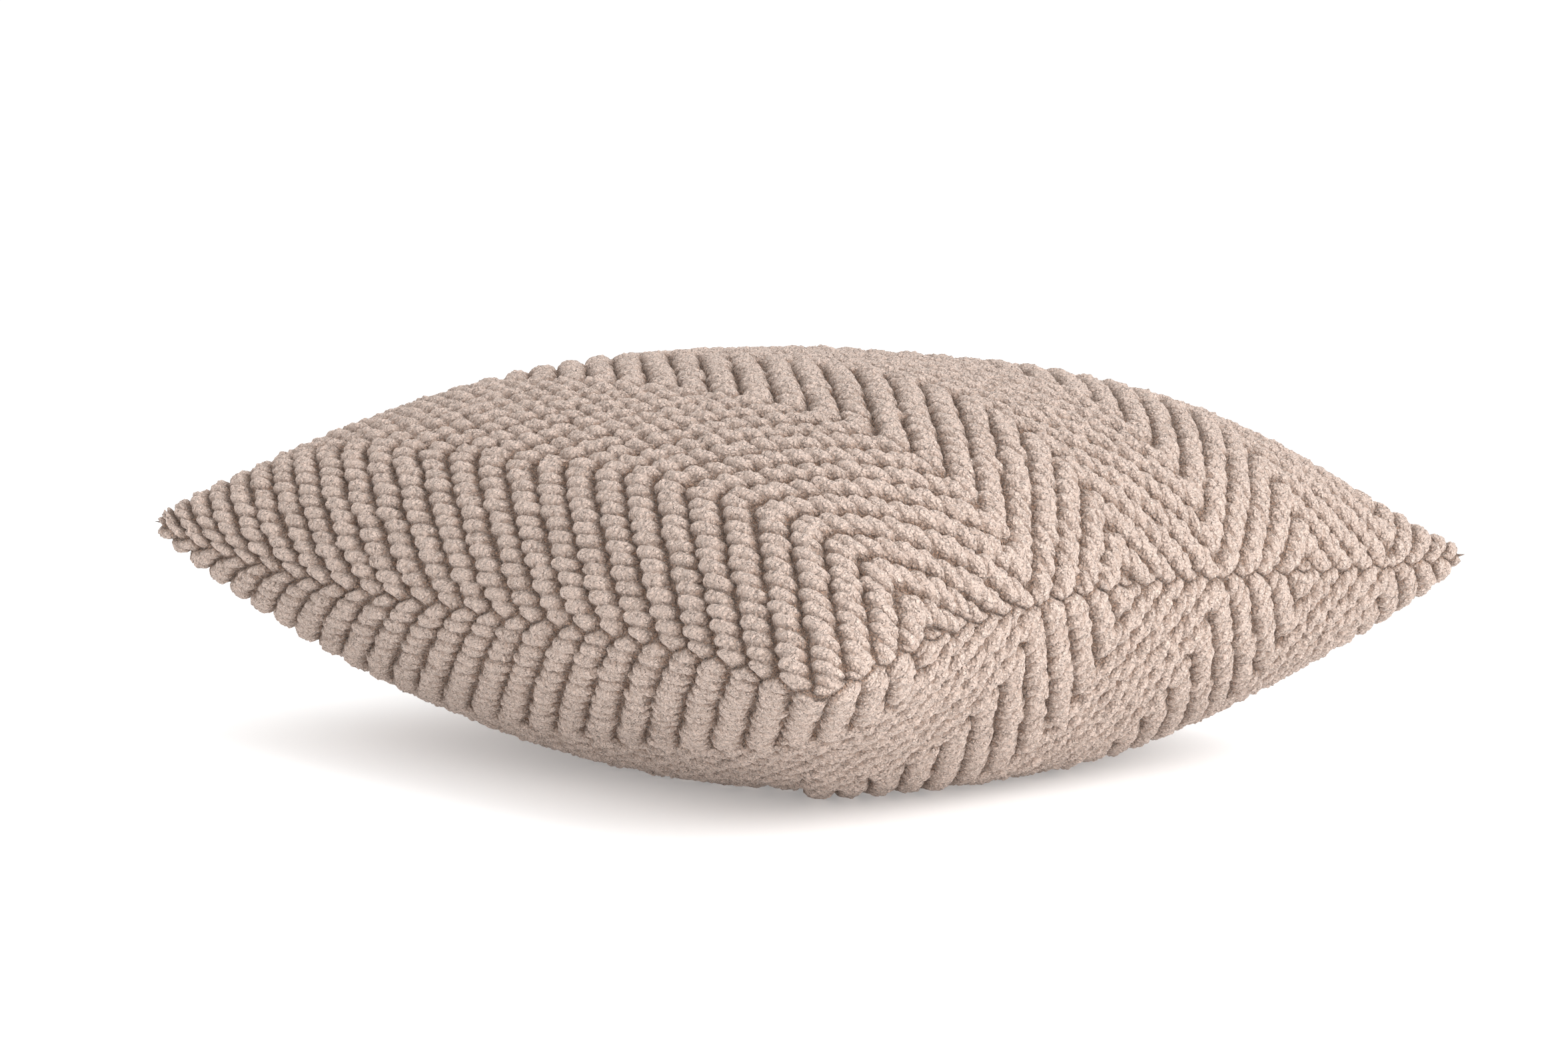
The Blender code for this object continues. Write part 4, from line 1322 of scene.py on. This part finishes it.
FLOOR_SIDE = 14
FLOOR_LEVEL = -0.0005
FLOOR_GLOW = 0.27
WORLD_STRENGTH = 1.05
LIGHTS = {  # name: place, size and power
    "key_light": ((2.0, 0.20, 1.35), 1.4, 40),
    "low_light": ((2.1, -0.55, 0.30), 1.0, 12),
    "fill_light": ((-0.3, -2.2, 1.5), 1.8, 7),
}


def area_light(name, place, target, size, power):
    """A round lamp that points at its target."""
    bpy.ops.object.light_add(type="AREA", location=place)
    lamp = bpy.context.object
    lamp.name = name
    lamp.data.shape = "DISK"
    lamp.data.size = size
    lamp.data.energy = power
    lamp.rotation_euler = (Vector(target) - Vector(place)).to_track_quat("-Z", "Y").to_euler()


class PILLOW_OT_stage(bpy.types.Operator):
    """Adds the pale floor, soft light and the camera"""

    bl_idname = "pillow.add_stage"
    bl_label = "Stage"

    def execute(self, context):
        bpy.ops.object.select_all(action="DESELECT")
        self.add_floor()
        self.add_light(context.scene)
        self.add_camera(context.scene.pillow_stage)
        return {"FINISHED"}

    def add_floor(self):
        bpy.ops.mesh.primitive_plane_add(size=FLOOR_SIDE, location=(0, 0, FLOOR_LEVEL))
        floor = bpy.context.object
        floor.name = "floor"
        white = (*bpy.context.scene.pillow_colours.floor, 1.0)
        finish = Finish("lit_floor")
        floor.data.materials.append(
            finish.shade(Base_Color=white, Roughness=0.9, Emission_Color=white, Emission_Strength=FLOOR_GLOW)
        )

    def add_light(self, scene):
        world = bpy.data.worlds.new("studio")
        world.use_nodes = True
        world.node_tree.nodes["Background"].inputs["Color"].default_value = (1, 1, 1, 1)
        world.node_tree.nodes["Background"].inputs["Strength"].default_value = WORLD_STRENGTH
        scene.world = world
        scene.view_settings.view_transform = "Standard"
        for name, (place, size, power) in LIGHTS.items():
            area_light(name, place, (0, 0, 0.1), size, power)

    def add_camera(self, stage):
        data = bpy.data.cameras.new("camera")
        camera = bpy.data.objects.new("camera", data)
        bpy.context.scene.collection.objects.link(camera)
        data.sensor_width = 36.0
        data.lens = stage.focal * data.sensor_width
        data.clip_start = 0.05
        a, e = math.radians(stage.azimuth), math.radians(stage.elevation)
        back = Vector((math.sin(a) * math.cos(e), -math.cos(a) * math.cos(e), math.sin(e)))
        right = Vector((math.cos(a), math.sin(a), 0))
        up = back.cross(right)
        camera.location = Vector((0, 0, stage.aim_height)) + back * stage.distance
        forward = -back - right * stage.aim_left / stage.focal + up * stage.aim_up / stage.focal
        turn = forward.to_track_quat("-Z", "Y").to_matrix().to_4x4()
        camera.matrix_world = Matrix.Translation(camera.location) @ turn @ Matrix.Rotation(
            math.radians(stage.roll), 4, "Z"
        )
        bpy.context.scene.camera = camera


# --- The add-on ---------------------------------------------------------------------------------------
GROUPS = {
    "pillow_form": PILLOW_PG_form,
    "pillow_weave": PILLOW_PG_weave,
    "pillow_colours": PILLOW_PG_colours,
    "pillow_stage": PILLOW_PG_stage,
}
OPERATORS = (
    PILLOW_OT_cover,
    PILLOW_OT_insert_casing,
    PILLOW_OT_filling,
    PILLOW_OT_seam_allowances,
    PILLOW_OT_care_label,
    PILLOW_OT_zip_tapes,
    PILLOW_OT_zip_coils,
    PILLOW_OT_zip_stitching,
    PILLOW_OT_zip_stops,
    PILLOW_OT_slider,
    PILLOW_OT_pull,
    PILLOW_OT_stage,
)


class PILLOW_PT_panel(bpy.types.Panel):
    """Lists the pillow's pieces"""

    bl_label = "Throw Pillow"
    bl_idname = "PILLOW_PT_panel"
    bl_space_type = "VIEW_3D"
    bl_region_type = "UI"
    bl_category = "Pillow"

    def draw(self, context):
        for operator in OPERATORS:
            self.layout.operator(operator.bl_idname)


def register():
    for group in GROUPS.values():
        bpy.utils.register_class(group)
    for name, group in GROUPS.items():
        setattr(bpy.types.Scene, name, bpy.props.PointerProperty(type=group))
    for operator in OPERATORS:
        bpy.utils.register_class(operator)
    bpy.utils.register_class(PILLOW_PT_panel)


def unregister():
    bpy.utils.unregister_class(PILLOW_PT_panel)
    for operator in reversed(OPERATORS):
        bpy.utils.unregister_class(operator)
    for name, group in GROUPS.items():
        delattr(bpy.types.Scene, name)
        bpy.utils.unregister_class(group)


def main():
    register()
    for operator in OPERATORS:
        group, name = operator.bl_idname.split(".")
        getattr(getattr(bpy.ops, group), name)()


if __name__ == "__main__":
    main()
